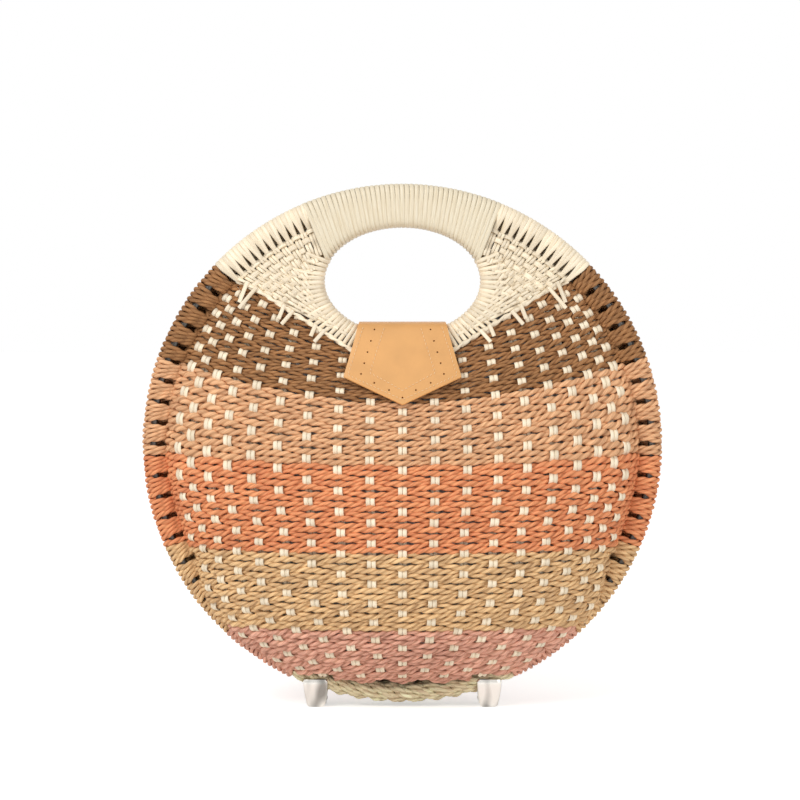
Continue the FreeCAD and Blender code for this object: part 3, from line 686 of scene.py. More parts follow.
def warp_lines():
    """Two flat reeds side by side in each column, over and under the rows."""
    width = sizes().reed / MM
    ropes = [distance for distance, closeness in rope_distances()]
    steps = 3
    nudge = 0.01
    lines = []
    for column in range(-COLUMN_REACH, COLUMN_REACH + 1):
        for shift in (-REED_APART, REED_APART):
            line = []
            for number in range(steps + 1, steps * len(ropes) - steps):
                below = number // steps
                share = number / steps - below
                level = level_at(ropes[below] + (ropes[below + 1] - ropes[below]) * share)
                turn = column_turn(column, level)
                point = row_point(turn, level) if turn else None
                if not point or not in_rope_weave(point):
                    if line:
                        break
                    continue
                outward = outward_at(turn, level, row_point)
                swing = math.cos(math.pi * (column + number / (2 * steps) - ROW_MIDDLE))
                sideways = (row_point(turn - nudge, level) - row_point(turn + nudge, level)).normalized()
                place = point + outward * (weave_lift(point) - WARP_SWING * swing) + sideways * shift * width
                line.append((place, outward, 1.0))
            keep_line(lines, line)
    return lines


class CIRCLEBAG_OT_warps(bpy.types.Operator):
    """Run the warp reeds up through the rope"""
    bl_idname = "circle_bag.warps"
    bl_label = "Warp reeds"
    bl_options = {"REGISTER", "UNDO"}

    def execute(self, context):
        tree = reed_tree()
        lines = warp_lines()
        finish = split_reed("reed")
        for side in SIDES:
            grow_on(side, "reeds", ["warp_reeds"], "reed", lines, tree, finish,
                    Width=sizes().reed, Thickness=sizes().reed_thickness, Step=WARP_STEP * MM)
        return {"FINISHED"}


# The reed work round the hand hole

def shell_depth(across, rise):
    """Depth of the outside of the shell at a place seen from the front."""
    share = min(1.0, abs(across) / half_width(rise))
    return RIM_DEPTH + (dome_depth(rise) - RIM_DEPTH) * math.sqrt(1 - share ** 2)


def laid(across, rise, lift):
    """A point laid on the front shell, with the direction that leaves the shell there."""
    nudge = 0.5
    slope_across = (shell_depth(across + nudge, rise) - shell_depth(across - nudge, rise)) / (2 * nudge)
    slope_up = (shell_depth(across, rise + nudge) - shell_depth(across, rise - nudge)) / (2 * nudge)
    outward = Vector((-slope_across, -1, -slope_up)).normalized()
    place = Vector((across, -shell_depth(across, rise), CENTRE_HEIGHT + rise))
    return place + outward * lift, outward


def oval_point(angle, extra):
    """Across and rise on the hand hole's oval, grown by an extra width; the angle runs from the top."""
    across = (HOLE_HALF_WIDTH + extra) * math.sin(angle)
    rise = HOLE_RISE + (HOLE_HALF_HEIGHT + extra) * math.cos(angle)
    return across, rise


SHOULDER_GROUPS = 12                          # pairs of reed on one side of the rim
SHOULDER_REED = (2.3, 1.0)                    # width and thickness
SHOULDER_LIFT = -0.7                          # middle of the reed work, below the outside of the shell
REED_STEP = 1.2
GROUP_ANGLE = (SHOULDER_END_ANGLE - HANDLE_HALF_ANGLE) / SHOULDER_GROUPS

# Reeds round the rim
RIM_REED_REACH = 5.9                          # from the middle of the rim to the middle of the reed
RIM_REED_INNER_REACH = 6.0                    # how much further it reaches in over the groove
RIM_REED_LAP = 0.97                           # share of a full turn that it goes round
RIM_REED_PINCH = 0.85                         # how far a pair draws together at its inner end
RIM_REED_SIZE = 1.15
RIM_REED_TAPER = 0.4

# Reeds along the rim, and the pairs that cross them
WEAVER_PITCH = 4.4
WEAVER_COUNT = 7
WEAVER_SWING = 1.05
WEAVER_RADIUS = RIM_BORE - 3.0                # radius of the weaver next to the rim
WEAVER_SIZE = 1.3
WEAVER_HOLE_ROOM = 15.0
WEAVER_EDGE_ROOM = 1.0
RADIAL_STEPS = 40
RADIAL_APART = 0.95
RADIAL_SIZE = 0.75
RADIAL_END_EXTRA = 6.0                        # how far from the hand hole they end
OVAL_FIRST_ANGLE = math.radians(66.5)         # where the handle's winding ends on the oval
OVAL_RADIAL_LAST = math.radians(142.0)        # where the edge of the reed work meets the oval


def rim_reeds(hand, shift):
    """Flat reeds round the rim, whose inner ends draw together in pairs, shifted by some reeds."""
    lines = []
    for number in range(2 * SHOULDER_GROUPS):
        group = HANDLE_HALF_ANGLE + ((number + shift) // 2 + 0.5 - shift / 2) * GROUP_ANGLE
        own = HANDLE_HALF_ANGLE + (number + 0.5) * GROUP_ANGLE / 2
        line = []
        for step in range(TURN_STEPS + 1):
            tube = math.pi - math.tau * (step / TURN_STEPS) * RIM_REED_LAP
            inner = max(0.0, -math.cos(tube))
            angle = hand * (own + (group - own) * RIM_REED_PINCH * inner)
            radius = RIM_RADIUS + (RIM_REED_REACH + RIM_REED_INNER_REACH * inner ** 2) * math.cos(tube)
            place = rim_point(angle, radius, RIM_DEPTH + RIM_REED_REACH * math.sin(tube))
            middle = rim_point(angle, RIM_RADIUS, RIM_DEPTH)
            line.append((place, (place - middle).normalized(), RIM_REED_SIZE - RIM_REED_TAPER * inner ** 2))
        lines.append(line)
    return lines


def weavers(hand):
    """Reeds that run along the rim, over and under the radial reeds."""
    steps = 6
    lines = []
    for number in range(WEAVER_COUNT):
        radius = WEAVER_RADIUS - WEAVER_PITCH * number
        line = []
        for step in range(steps * SHOULDER_GROUPS + 1):
            column = step / steps
            angle = HANDLE_HALF_ANGLE + column * GROUP_ANGLE
            across, rise = radius * math.sin(angle), radius * math.cos(angle)
            in_binding = oval_share(across, rise, WEAVER_HOLE_ROOM) < 1
            if in_binding or rise < shoulder_edge(across) + WEAVER_EDGE_ROOM:
                continue
            lift = SHOULDER_LIFT + WEAVER_SWING * math.cos(math.pi * (column - 0.5 + number))
            place, outward = laid(hand * across, rise, lift)
            line.append((place, outward, WEAVER_SIZE))
        keep_line(lines, line)
    return lines


def radial_reeds(hand):
    """Pairs of reed from the rim to the oval, under and over the weavers."""
    lines = []
    for number in range(SHOULDER_GROUPS):
        angle = HANDLE_HALF_ANGLE + (number + 0.5) * GROUP_ANGLE
        share = number / (SHOULDER_GROUPS - 1)
        oval_angle = OVAL_FIRST_ANGLE + (OVAL_RADIAL_LAST - OVAL_FIRST_ANGLE) * share
        start = Vector((WEAVER_RADIUS * math.sin(angle), WEAVER_RADIUS * math.cos(angle)))
        end = Vector(oval_point(oval_angle, RADIAL_END_EXTRA))
        sideways = Vector((end.y - start.y, start.x - end.x)).normalized()
        for shift in (-RADIAL_APART, RADIAL_APART):
            line = []
            for step in range(RADIAL_STEPS + 1):
                spot = start.lerp(end, step / RADIAL_STEPS) + sideways * shift
                column = (WEAVER_RADIUS - spot.length) / WEAVER_PITCH
                lift = SHOULDER_LIFT - WEAVER_SWING * math.cos(math.pi * (number + column))
                place, outward = laid(hand * spot.x, spot.y, lift)
                line.append((place, outward, RADIAL_SIZE))
            lines.append(line)
    return lines


TWIST_STEPS = 60
TWIST_OVERHANG = 3.0          # how far the twisted edge runs on over the rim
TWIST_LIFT = 0.2
TWIST_RADIUS = 1.5
TWIST_LAY = 14
TWIST_WAIST = 0.5
LOOSE_ENDS = ((86.0, 12.0), (65.0, 8.0), (47.0, 7.0))    # how far across a pair is, and its length
LOOSE_PAIR = ((2.6, 0.4), (-2.6, 0.85))                  # each end's distance from the middle, and its lean
LOOSE_START = 1.5             # how far above the edge they come out
LOOSE_LIFT = 1.6
LOOSE_STEPS = 6


def edge_twist(hand):
    """The twisted pair of reeds along the line where the shoulder ends."""
    length = RIM_BORE * math.sin(SHOULDER_END_ANGLE) - SHOULDER_START + TWIST_OVERHANG
    line = []
    for step in range(TWIST_STEPS + 1):
        across = SHOULDER_START + length * step / TWIST_STEPS
        place, outward = laid(hand * across, shoulder_edge(across), TWIST_LIFT)
        line.append((place, outward, 1.0))
    return line


def loose_ends(hand):
    """Cut ends of the warps, in pairs, left over the first rows of rope."""
    lines = []
    for across, length in LOOSE_ENDS:
        for shift, lean in LOOSE_PAIR:
            line = []
            for step in range(LOOSE_STEPS + 1):
                drop = length * step / LOOSE_STEPS
                rise = shoulder_edge(across + shift) + LOOSE_START - drop
                place, outward = laid(hand * (across + shift + lean * drop), rise, LOOSE_LIFT)
                line.append((place, outward, 1.0))
            lines.append(line)
    return lines


class CIRCLEBAG_OT_shoulders(bpy.types.Operator):
    """Weave the reed shoulders beside the hand holes"""
    bl_idname = "circle_bag.shoulders"
    bl_label = "Shoulders"
    bl_options = {"REGISTER", "UNDO"}

    def execute(self, context):
        reed, rope = reed_tree(), rope_tree()
        finish = split_reed("reed")
        width, thickness = SHOULDER_REED
        for side in SIDES:
            for hand, name in ((1, "right"), (-1, "left")):
                shift = 1 if side == "back" else 0
                flat = rim_reeds(hand, shift) + weavers(hand) + radial_reeds(hand) + loose_ends(hand)
                grow_on(side, "shoulder_weave_" + name, ["shoulder_" + name], "reed", flat, reed, finish,
                        Width=width * MM, Thickness=thickness * MM, Step=REED_STEP * MM)
                grow_on(side, "shoulder_edge_" + name, [], "reed", [edge_twist(hand)], rope, finish,
                        Radius=TWIST_RADIUS * MM, Lay=TWIST_LAY * MM, Step=ROPE_STEP * MM, Waist=TWIST_WAIST)
        return {"FINISHED"}


# The binding of the hand hole

WRAP_COUNT = 31               # reeds bound over one side of the hole
WRAP_CROWDING = 0.25          # how much closer they get towards the bottom
WRAP_REED = (2.55, 1.6)       # width and thickness
WRAP_LENGTH = 15.0            # how far out over the front they reach, and by how much that differs
WRAP_SHORTER = 1.5
WRAP_LONGER = 3.0
WRAP_TAPER = 0.2
WRAP_LIFT = -0.6
WRAP_OVERLAP = 2.0            # how far they reach over the edge of the reed work
BINDING_ROUND = 4.0           # how far the binding's inner edge is rounded
BINDING_BACK_DEPTH = 2.6
FRONT_STEPS = 11
ROUND_STEPS = 8
BACK_STEPS = 3


def oval_wrap(hand, angle, length):
    """One reed from the front of the shell, round the edge of the hand hole and in behind it."""
    line = []
    for step in range(FRONT_STEPS + 1):
        extra = BINDING_ROUND + (length - BINDING_ROUND) * (1 - step / FRONT_STEPS)
        across, rise = oval_point(angle, extra)
        if rise < shoulder_edge(across) - WRAP_OVERLAP:
            continue
        place, outward = laid(hand * across, rise, WRAP_LIFT)
        line.append((place, outward, 1.0 - WRAP_TAPER * (extra / length) ** 2))
    across, rise = oval_point(angle, BINDING_ROUND)
    edge, outward = laid(hand * across, rise, WRAP_LIFT)
    inward = Vector((-hand * math.sin(angle), 0, -math.cos(angle))).normalized()
    half = (-edge.y - BINDING_BACK_DEPTH) / 2
    middle = Vector((edge.x, -BINDING_BACK_DEPTH - half, edge.z))
    for step in range(1, ROUND_STEPS + 1):
        turn = math.pi * step / ROUND_STEPS
        front, inner = math.cos(turn), math.sin(turn)
        place = middle + Vector((0, -half * front, 0)) + inward * BINDING_ROUND * inner
        direction = Vector((0, -front / half, 0)) + inward * inner / BINDING_ROUND
        line.append((place, direction.normalized(), 1.0))
    for step in range(1, BACK_STEPS + 1):
        across, rise = oval_point(angle, BINDING_ROUND + (BINDING_WIDTH - BINDING_ROUND) * step / BACK_STEPS)
        place = Vector((hand * across, -BINDING_BACK_DEPTH, CENTRE_HEIGHT + rise))
        line.append((place, Vector((0, 1, 0)), 1.0))
    return line


def oval_wraps(hand):
    """The reeds bound over one side of the hand hole, of slightly different lengths."""
    lots = random.Random(31)
    lines = []
    for number in range(WRAP_COUNT):
        share = (number + 0.5) / WRAP_COUNT
        share += WRAP_CROWDING * share * (1 - share)
        angle = OVAL_FIRST_ANGLE + (math.pi - OVAL_FIRST_ANGLE) * share
        length = WRAP_LENGTH + lots.uniform(-WRAP_SHORTER, WRAP_LONGER)
        lines.append(oval_wrap(hand, angle, length))
    return lines


class CIRCLEBAG_OT_binding(bpy.types.Operator):
    """Bind the edge of the hand holes with reed"""
    bl_idname = "circle_bag.binding"
    bl_label = "Hand hole binding"
    bl_options = {"REGISTER", "UNDO"}

    def execute(self, context):
        tree = reed_tree()
        finish = split_reed("reed")
        lines = oval_wraps(1) + oval_wraps(-1)
        width, thickness = WRAP_REED
        for side in SIDES:
            grow_on(side, "hole_binding", ["hand_hole_binding"], "reed", lines, tree, finish,
                    Width=width * MM, Thickness=thickness * MM, Step=REED_STEP * MM)
        return {"FINISHED"}


# The handle

HANDLE_BACK_DEPTH = 1.0
HANDLE_CORNER = 5.5
HANDLE_SQUARENESS = 4
HANDLE_INSET = 0.4            # middle of the reed, below the outside of the handle
HANDLE_WOUND_RADIUS = BAG_RADIUS - 12     # where the turns are counted
HANDLE_TURN_STEPS = 28
HANDLE_REED_SHARE = 0.98      # width of the reed, as a share of its pitch
HANDLE_REED_THICKNESS = 1.0
HANDLE_STEP = 1.5
HALVINGS = 30                 # of the search for the edge of the hand hole


def oval_reach(angle):
    """Distance from the middle of the bag to the upper edge of the hand hole, at an angle from the top."""
    low, high = HOLE_RISE, BAG_RADIUS
    for _ in range(HALVINGS):
        reach = (low + high) / 2
        inside = oval_share(reach * math.sin(angle), reach * math.cos(angle), 0.0) < 1
        low, high = (reach, high) if inside else (low, reach)
    return low


def handle_section(share, height, depth):
    """A point of a rounded oblong, as offsets from its middle, with the way out of it there."""
    turn = math.tau * share
    direction = Vector((math.cos(turn), math.sin(turn)))
    core = Vector((height / 2 - HANDLE_CORNER, max(0.0, depth / 2 - HANDLE_CORNER)))
    pull = Vector([math.tanh(HANDLE_SQUARENESS * part) for part in direction])
    return core * pull + direction * HANDLE_CORNER, direction


def handle_winding():
    """One fine reed wound from end to end of the handle."""
    turns = round(2 * HANDLE_HALF_ANGLE * HANDLE_WOUND_RADIUS / (sizes().handle_pitch / MM))
    total = turns * HANDLE_TURN_STEPS + HANDLE_TURN_STEPS // 2
    depth = RIM_FACE_DEPTH - HANDLE_BACK_DEPTH - HANDLE_INSET
    high = BAG_RADIUS - HANDLE_INSET
    line = []
    for step in range(total + 1):
        angle = HANDLE_HALF_ANGLE * (2 * step / total - 1)
        low = oval_reach(angle) + HANDLE_INSET
        offset, direction = handle_section(step / HANDLE_TURN_STEPS, high - low, depth)
        place = rim_point(angle, (low + high) / 2 + offset.x, HANDLE_BACK_DEPTH + depth / 2 + offset.y)
        outward = rim_point(angle, direction.x, direction.y) - Vector((0, 0, CENTRE_HEIGHT))
        line.append((place, outward.normalized(), 1.0))
    return line


class CIRCLEBAG_OT_handle(bpy.types.Operator):
    """Wind the handles with fine reed"""
    bl_idname = "circle_bag.handle"
    bl_label = "Handle"
    bl_options = {"REGISTER", "UNDO"}

    def execute(self, context):
        tree = reed_tree()
        finish = split_reed("handle")
        width = sizes().handle_pitch * HANDLE_REED_SHARE
        for side in SIDES:
            grow_on(side, "handle", ["handle_wrap"], "handle_reed", [handle_winding()], tree, finish,
                    Width=width, Thickness=HANDLE_REED_THICKNESS * MM, Step=HANDLE_STEP * MM)
        return {"FINISHED"}


# The leather tab and strap

LEATHER_THICKNESS = 2.0
LEATHER_EASE = 0.7           # how far its edges are rounded
LEATHER_COLUMNS = 16
FOLD_RISE = 68.5             # underside of the leather where it lies over the shells
FOLD_DEPTH = 15.5
FOLD_SOFTNESS = 5.0
TIP_DEPTH = 34.03
TAB_START_DEPTH = -12.0
STRAP_START_DEPTH = 12.3
STRAP_END_RISE = 28.0
NECK_HALF_WIDTH = 25.0
CORNER_RISE = 39.5
FLAT_STEPS = 8
BEND_STEPS = 12
PANEL_STEP = 1.5
PANEL_DOWN = Vector((TIP_DEPTH - FOLD_DEPTH, TIP_RISE - FOLD_RISE)).normalized()
PANEL_OUT = Vector((-PANEL_DOWN.y, PANEL_DOWN.x))
PANEL_FACING = Vector((0, -PANEL_OUT.x, PANEL_OUT.y))


def panel_point(across, rise, lift):
    """A point of the slanting panel, lifted from its inner face, at a height of that face."""
    length = (rise - FOLD_RISE) / PANEL_DOWN.y
    spot = Vector((FOLD_DEPTH, FOLD_RISE)) + PANEL_DOWN * length + PANEL_OUT * lift
    return Vector((across, -spot.x, CENTRE_HEIGHT + spot.y))


def width_at(rise, ends):
    """Half width of the leather at a rise, straight between the ends given as rise and half width."""
    for (first, wide), (last, narrow) in zip(ends, ends[1:]):
        if rise >= last:
            share = min(1.0, max(0.0, (first - rise) / (first - last)))
            return wide + (narrow - wide) * share
    return ends[-1][1]


def leather_stations(start_depth, ends):
    """Depth, rise and half width along the middle of the leather, over the top and down the panel."""
    half = LEATHER_THICKNESS / 2
    level = FOLD_RISE + half
    panel = Vector((FOLD_DEPTH, FOLD_RISE)) + PANEL_OUT * half
    corner = panel + PANEL_DOWN * ((level - panel.y) / PANEL_DOWN.y)
    least_flat = 0.1
    soft = min(FOLD_SOFTNESS, corner.x - start_depth - least_flat)
    flat_end = corner - Vector((soft, 0))
    clear = 1.2
    below_bend = FOLD_RISE + PANEL_DOWN.y * FOLD_SOFTNESS * clear
    stations = []
    for step in range(FLAT_STEPS):
        spot = Vector((start_depth, level)).lerp(flat_end, step / FLAT_STEPS)
        stations.append((spot, ends[0][1]))
    for step in range(BEND_STEPS + 1):
        share = step / BEND_STEPS
        low = flat_end.lerp(corner, share)
        high = corner.lerp(corner + PANEL_DOWN * FOLD_SOFTNESS, share)
        spot = low.lerp(high, share)
        stations.append((spot, width_at(spot.y - half, ends)))
    for (first, wide), (last, narrow) in zip(ends, ends[1:]):
        steps = max(2, round(abs(first - last) / PANEL_STEP))
        for step in range(1, steps + 1):
            rise = first + (last - first) * step / steps
            if rise < below_bend:
                point = panel_point(0, rise, half)
                stations.append((Vector((-point.y, point.z - CENTRE_HEIGHT)), width_at(rise, ends)))
    return stations


def built_object(name, build, *finishes):
    """Keeps a built shape as an object with these finishes."""
    mesh = bpy.data.meshes.new(name)
    build.to_mesh(mesh)
    build.free()
    for finish in finishes:
        mesh.materials.append(finish)
    return add_object(name, mesh)


def settle(piece, smooth_angle=math.radians(40)):
    """Turns a piece with modifiers into its plain final mesh."""
    evaluated = piece.evaluated_get(bpy.context.evaluated_depsgraph_get())
    mesh = bpy.data.meshes.new_from_object(evaluated)
    piece.modifiers.clear()
    piece.data = mesh
    mesh.name = piece.name
    mesh.shade_smooth()
    mesh.set_sharp_from_angle(angle=smooth_angle)
    return piece


def leather_sheet(stations, side):
    """A sheet without thickness through the stations, as a shape being built."""
    sign = -1 if side == "front" else 1
    weld = 0.02
    build = bmesh.new()
    rows = []
    for spot, width in stations:
        row = []
        for column in range(LEATHER_COLUMNS + 1):
            across = width * (2 * column / LEATHER_COLUMNS - 1)
            row.append(build.verts.new(Vector((across, sign * spot.x, CENTRE_HEIGHT + spot.y)) * MM))
        rows.append(row)
    for above, below in zip(rows, rows[1:]):
        for column in range(LEATHER_COLUMNS):
            build.faces.new((above[column], below[column], below[column + 1], above[column + 1]))
    bmesh.ops.remove_doubles(build, verts=build.verts, dist=weld * MM)
    bmesh.ops.recalc_face_normals(build, faces=build.faces)
    return build


def leather_piece(name, start_depth, ends, side):
    """A piece of leather with thickness, rounded edges and the paler colour of the cut on them."""
    build = leather_sheet(leather_stations(start_depth, ends), side)
    piece = built_object(name, build, smooth_leather(), cut_leather_edge())
    thick = piece.modifiers.new("thickness", "SOLIDIFY")
    thick.thickness = LEATHER_THICKNESS * MM
    thick.offset = 0
    thick.use_even_offset = True
    thick.material_offset_rim = 1
    settle(piece)
    bevel = piece.modifiers.new("eased", "BEVEL")
    bevel.width = LEATHER_EASE * MM
    bevel.segments = 2
    bevel.material = 1
    bevel.limit_method = "ANGLE"
    bevel.angle_limit = math.radians(50)
    return settle(piece)


# Across and rise of the holes punched on each side of the tab, and the rise of the one at its tip
PUNCHED = (
    (16.0, 66.0), (18.0, 59.5), (19.9, 53.2), (21.7, 47.0), (23.5, 41.0),
    (16.0, 36.0), (7.6, 32.0),
)
TIP_HOLE_RISE = 27.8
PUNCH_RADIUS = 0.55
PUNCH_LENGTH = 8


def punches():
    """Small round punches through the panel, to be cut out of the leather."""
    build = bmesh.new()
    lean = Vector((0, 0, 1)).rotation_difference(PANEL_FACING)
    spots = [(hand * across, rise) for across, rise in PUNCHED for hand in (1, -1)] + [(0.0, TIP_HOLE_RISE)]
    for across, rise in spots:
        made = bmesh.ops.create_cone(build, cap_ends=True, segments=10, radius1=PUNCH_RADIUS * MM,
                                     radius2=PUNCH_RADIUS * MM, depth=PUNCH_LENGTH * MM)
        bmesh.ops.rotate(build, verts=made["verts"], matrix=lean.to_matrix(), cent=(0, 0, 0))
        middle = panel_point(across, rise, LEATHER_THICKNESS / 2)
        bmesh.ops.translate(build, verts=made["verts"], vec=middle * MM)
    return built_object("punches", build, cut_leather_edge())


# Across and rise of the corners of each line of stitches, down one side to the middle
TAB_EDGE_LINE = ((-22.7, 66.5), (-31.0, 40.3), (0.0, 26.6))
TAB_PATCH_LINE = ((-10.7, 66.0), (-18.5, 41.6), (0.0, 31.8))
STRAP_LINE = ((-22.6, 64.0), (-22.6, 30.4), (0.0, 30.4))
STITCH_LIFT = 0.1
STITCH_SHARE = 0.8           # length of a stitch, as a share of its pitch
THREAD_THICKNESS = 0.55


def stitch_line(half):
    """A guide line over the panel's outer face, down one side and up the other."""
    corners = list(half) + [(-across, rise) for across, rise in reversed(half[:-1])]
    lift = LEATHER_THICKNESS + STITCH_LIFT
    return [(panel_point(across, rise, lift), PANEL_FACING, 1.0) for across, rise in corners]


def sew(name, lines, body, node):
    """Stitches along these lines."""
    pitch = sizes().stitch_pitch
    stitches = grow(name, lines, stitch_tree(), waxed_thread(),
                    Pitch=pitch, Length=pitch * STITCH_SHARE, Thickness=THREAD_THICKNESS * MM)
    dress(stitches, body, "thread", node)


class CIRCLEBAG_OT_tab(bpy.types.Operator):
    """Cut, punch and stitch the leather tab"""
    bl_idname = "circle_bag.tab"
    bl_label = "Leather tab"
    bl_options = {"REGISTER", "UNDO"}

    def execute(self, context):
        ends = ((FOLD_RISE, NECK_HALF_WIDTH), (CORNER_RISE, CORNER_HALF_WIDTH), (TIP_RISE, 0.0))
        tab = leather_piece("tab", TAB_START_DEPTH, ends, "front")
        tool = punches()
        cut = tab.modifiers.new("holes", "BOOLEAN")
        cut.object = tool
        cut.solver = "EXACT"
        settle(tab)
        bpy.data.objects.remove(tool)
        dress(tab, "tab", "leather", "tab_leather")
        lines = [stitch_line(TAB_EDGE_LINE), stitch_line(TAB_PATCH_LINE)]
        sew("tab_stitches", lines, "tab", "tab_stitching")
        return {"FINISHED"}


class CIRCLEBAG_OT_strap(bpy.types.Operator):
    """Cut and stitch the leather strap on the back shell that holds the tab"""
    bl_idname = "circle_bag.strap"
    bl_label = "Leather strap"
    bl_options = {"REGISTER", "UNDO"}

    def execute(self, context):
        ends = ((FOLD_RISE, NECK_HALF_WIDTH), (STRAP_END_RISE, NECK_HALF_WIDTH))
        strap = leather_piece("strap", STRAP_START_DEPTH, ends, "back")
        dress(strap, "back_shell", "leather", "strap_leather")
        sew("strap_stitches", mirrored([stitch_line(STRAP_LINE)]), "back_shell", "strap_stitching")
        return {"FINISHED"}


# The lining

LINING_DROP = 7.0            # below the outside of the weave
LINING_EDGE_DROP = 5.0       # the same beside the rim
LINING_EDGE_TURN = 0.03      # how far short of the rim it ends, in radians
LINING_FOOT = 12.0           # how far up the weave it starts
LINING_TOP_RISE = 118.0
LINING_HOLE_EXTRA = 4.5      # how far it stays away from the hand hole
LINING_THICKNESS = 0.6
LINING_COLUMNS = 110
DOME_ROWS = 70
SHOULDER_ROWS = 18


def lining_levels():
    """Rises of the lining's rows, from the foot up behind the reed shoulders."""
    reach = LEVELS[-1][0] - LINING_FOOT
    dome = [level_at(LINING_FOOT + reach * step / DOME_ROWS) for step in range(DOME_ROWS + 1)]
    rest = LINING_TOP_RISE - dome[-1]
    return dome + [dome[-1] + rest * step / SHOULDER_ROWS for step in range(1, SHOULDER_ROWS + 1)]


def lining_shape():
    """The lining of the front shell, with the hand hole left out, as a shape being built."""
    build = bmesh.new()
    rows = []
    for level in lining_levels():
        row = []
        for step in range(LINING_COLUMNS + 1):
            turn = LINING_EDGE_TURN + (math.pi - 2 * LINING_EDGE_TURN) * step / LINING_COLUMNS
            drop = LINING_EDGE_DROP + (LINING_DROP - LINING_EDGE_DROP) * math.sin(turn)
            place = shell_point(turn, level) - outward_at(turn, level, shell_point) * drop
            outside = oval_share(place.x, place.z - CENTRE_HEIGHT, LINING_HOLE_EXTRA) > 1
            row.append(build.verts.new(place * MM) if outside else None)
        rows.append(row)
    for low, high in zip(rows, rows[1:]):
        for step in range(LINING_COLUMNS):
            corners = (low[step], low[step + 1], high[step + 1], high[step])
            if all(corners):
                build.faces.new(corners)
    loose = [vert for vert in build.verts if not vert.link_faces]
    bmesh.ops.delete(build, geom=loose, context="VERTS")
    return build


class CIRCLEBAG_OT_lining(bpy.types.Operator):
    """Hang the cotton lining behind the weave"""
    bl_idname = "circle_bag.lining"
    bl_label = "Lining"
    bl_options = {"REGISTER", "UNDO"}

    def execute(self, context):
        for side in SIDES:
            lining = built_object(side + "_lining_cloth", lining_shape(), cotton_lining())
            if side == "back":
                lining.data.transform(Matrix.Diagonal((1, -1, 1, 1)))
                lining.data.flip_normals()
            thick = lining.modifiers.new("thickness", "SOLIDIFY")
            thick.thickness = LINING_THICKNESS * MM
            settle(lining)
            dress(lining, side + "_shell", "lining_cloth", side + "_lining")
        return {"FINISHED"}


# The hinge clips

HINGE_HEIGHT = 4.0           # of the hinge line above the floor
CLIP_BACK_DEPTH = 3.3
CLIP_CORNERS = 28
CLIP_ROUNDNESS = 0.4         # 1 is round, and less is squarer
WEB_OVERLAP = 0.6            # how far a knuckle's web goes into its foot
KNUCKLE_RADIUS = 3.0
KNUCKLE_STEPS = 12
FRONT_KNUCKLES = ((-5.8, -2.9), (2.9, 5.8))
BACK_KNUCKLES = ((-2.7, 2.7),)
PIN_CORNERS = 16
# Height, half width and front depth of a clip, from the floor up
CLIP_SECTIONS = (
    (0.0, 4.4, 9.6), (0.6, 5.1, 10.6), (2.2, 5.6, 11.4), (5.0, 6.2, 12.5), (9.0, 6.9, 13.6),
    (13.0, 7.4, 14.3), (15.4, 7.5, 14.5), (16.6, 7.2, 14.1), (17.0, 6.5, 13.4),
)
# Distance from the middle and radius along a pin, with eased ends
PIN_SECTIONS = ((-6.4, 1.0), (-6.1, 1.4), (-5.8, 1.5), (5.8, 1.5), (6.1, 1.4), (6.4, 1.0))


def skin(build, rings):
    """Faces round a row of rings of corners, closed at both ends."""
    for low, high in zip(rings, rings[1:]):
        for corner in range(len(low)):
            build.faces.new((low[corner - 1], low[corner], high[corner], high[corner - 1]))
    build.faces.new(rings[0])
    build.faces.new(rings[-1])


def clip_foot(build, middle):
    """The bright foot under the rim: a rounded block that narrows towards the floor."""
    rings = []
    for height, half, front in CLIP_SECTIONS:
        ring = []
        for corner in range(CLIP_CORNERS):
            turn = math.tau * corner / CLIP_CORNERS
            across = math.copysign(abs(math.cos(turn)) ** CLIP_ROUNDNESS, math.cos(turn))
            forward = math.copysign(abs(math.sin(turn)) ** CLIP_ROUNDNESS, math.sin(turn))
            depth = (front + CLIP_BACK_DEPTH + (front - CLIP_BACK_DEPTH) * forward) / 2
            ring.append(build.verts.new(Vector((middle + half * across, -depth, height)) * MM))
        rings.append(ring)
    skin(build, rings)


def clip_knuckle(build, middle, first, last):
    """A round knuckle on the hinge line, with the web that joins it to its foot."""
    outline = []
    for step in range(KNUCKLE_STEPS + 1):
        turn = math.pi / 2 + math.pi * step / KNUCKLE_STEPS
        outline.append((KNUCKLE_RADIUS * math.cos(turn), HINGE_HEIGHT + KNUCKLE_RADIUS * math.sin(turn)))
    web_depth = CLIP_BACK_DEPTH + WEB_OVERLAP
    outline.append((web_depth, HINGE_HEIGHT - KNUCKLE_RADIUS))
    outline.append((web_depth, HINGE_HEIGHT + KNUCKLE_RADIUS))
    rings = []
    for across in (first, last):
        ring = [Vector((middle + across, -depth, height)) * MM for depth, height in outline]
        rings.append([build.verts.new(place) for place in ring])
    skin(build, rings)


def clip_pin(build, middle):
    """A round hinge pin with eased ends."""
    rings = []
    for across, radius in PIN_SECTIONS:
        ring = []
        for corner in range(PIN_CORNERS):
            turn = math.tau * corner / PIN_CORNERS
            height = HINGE_HEIGHT + radius * math.cos(turn)
            ring.append(build.verts.new(Vector((middle + across, radius * math.sin(turn), height)) * MM))
        rings.append(ring)
    skin(build, rings)


def metal_piece(name, build, body, node):
    """Keeps a built shape as a bright piece that rides on a body in place of a node."""
    bmesh.ops.recalc_face_normals(build, faces=build.faces)
    piece = settle(built_object(name, build, bright_nickel()))
    dress(piece, body, "clip_metal", node)


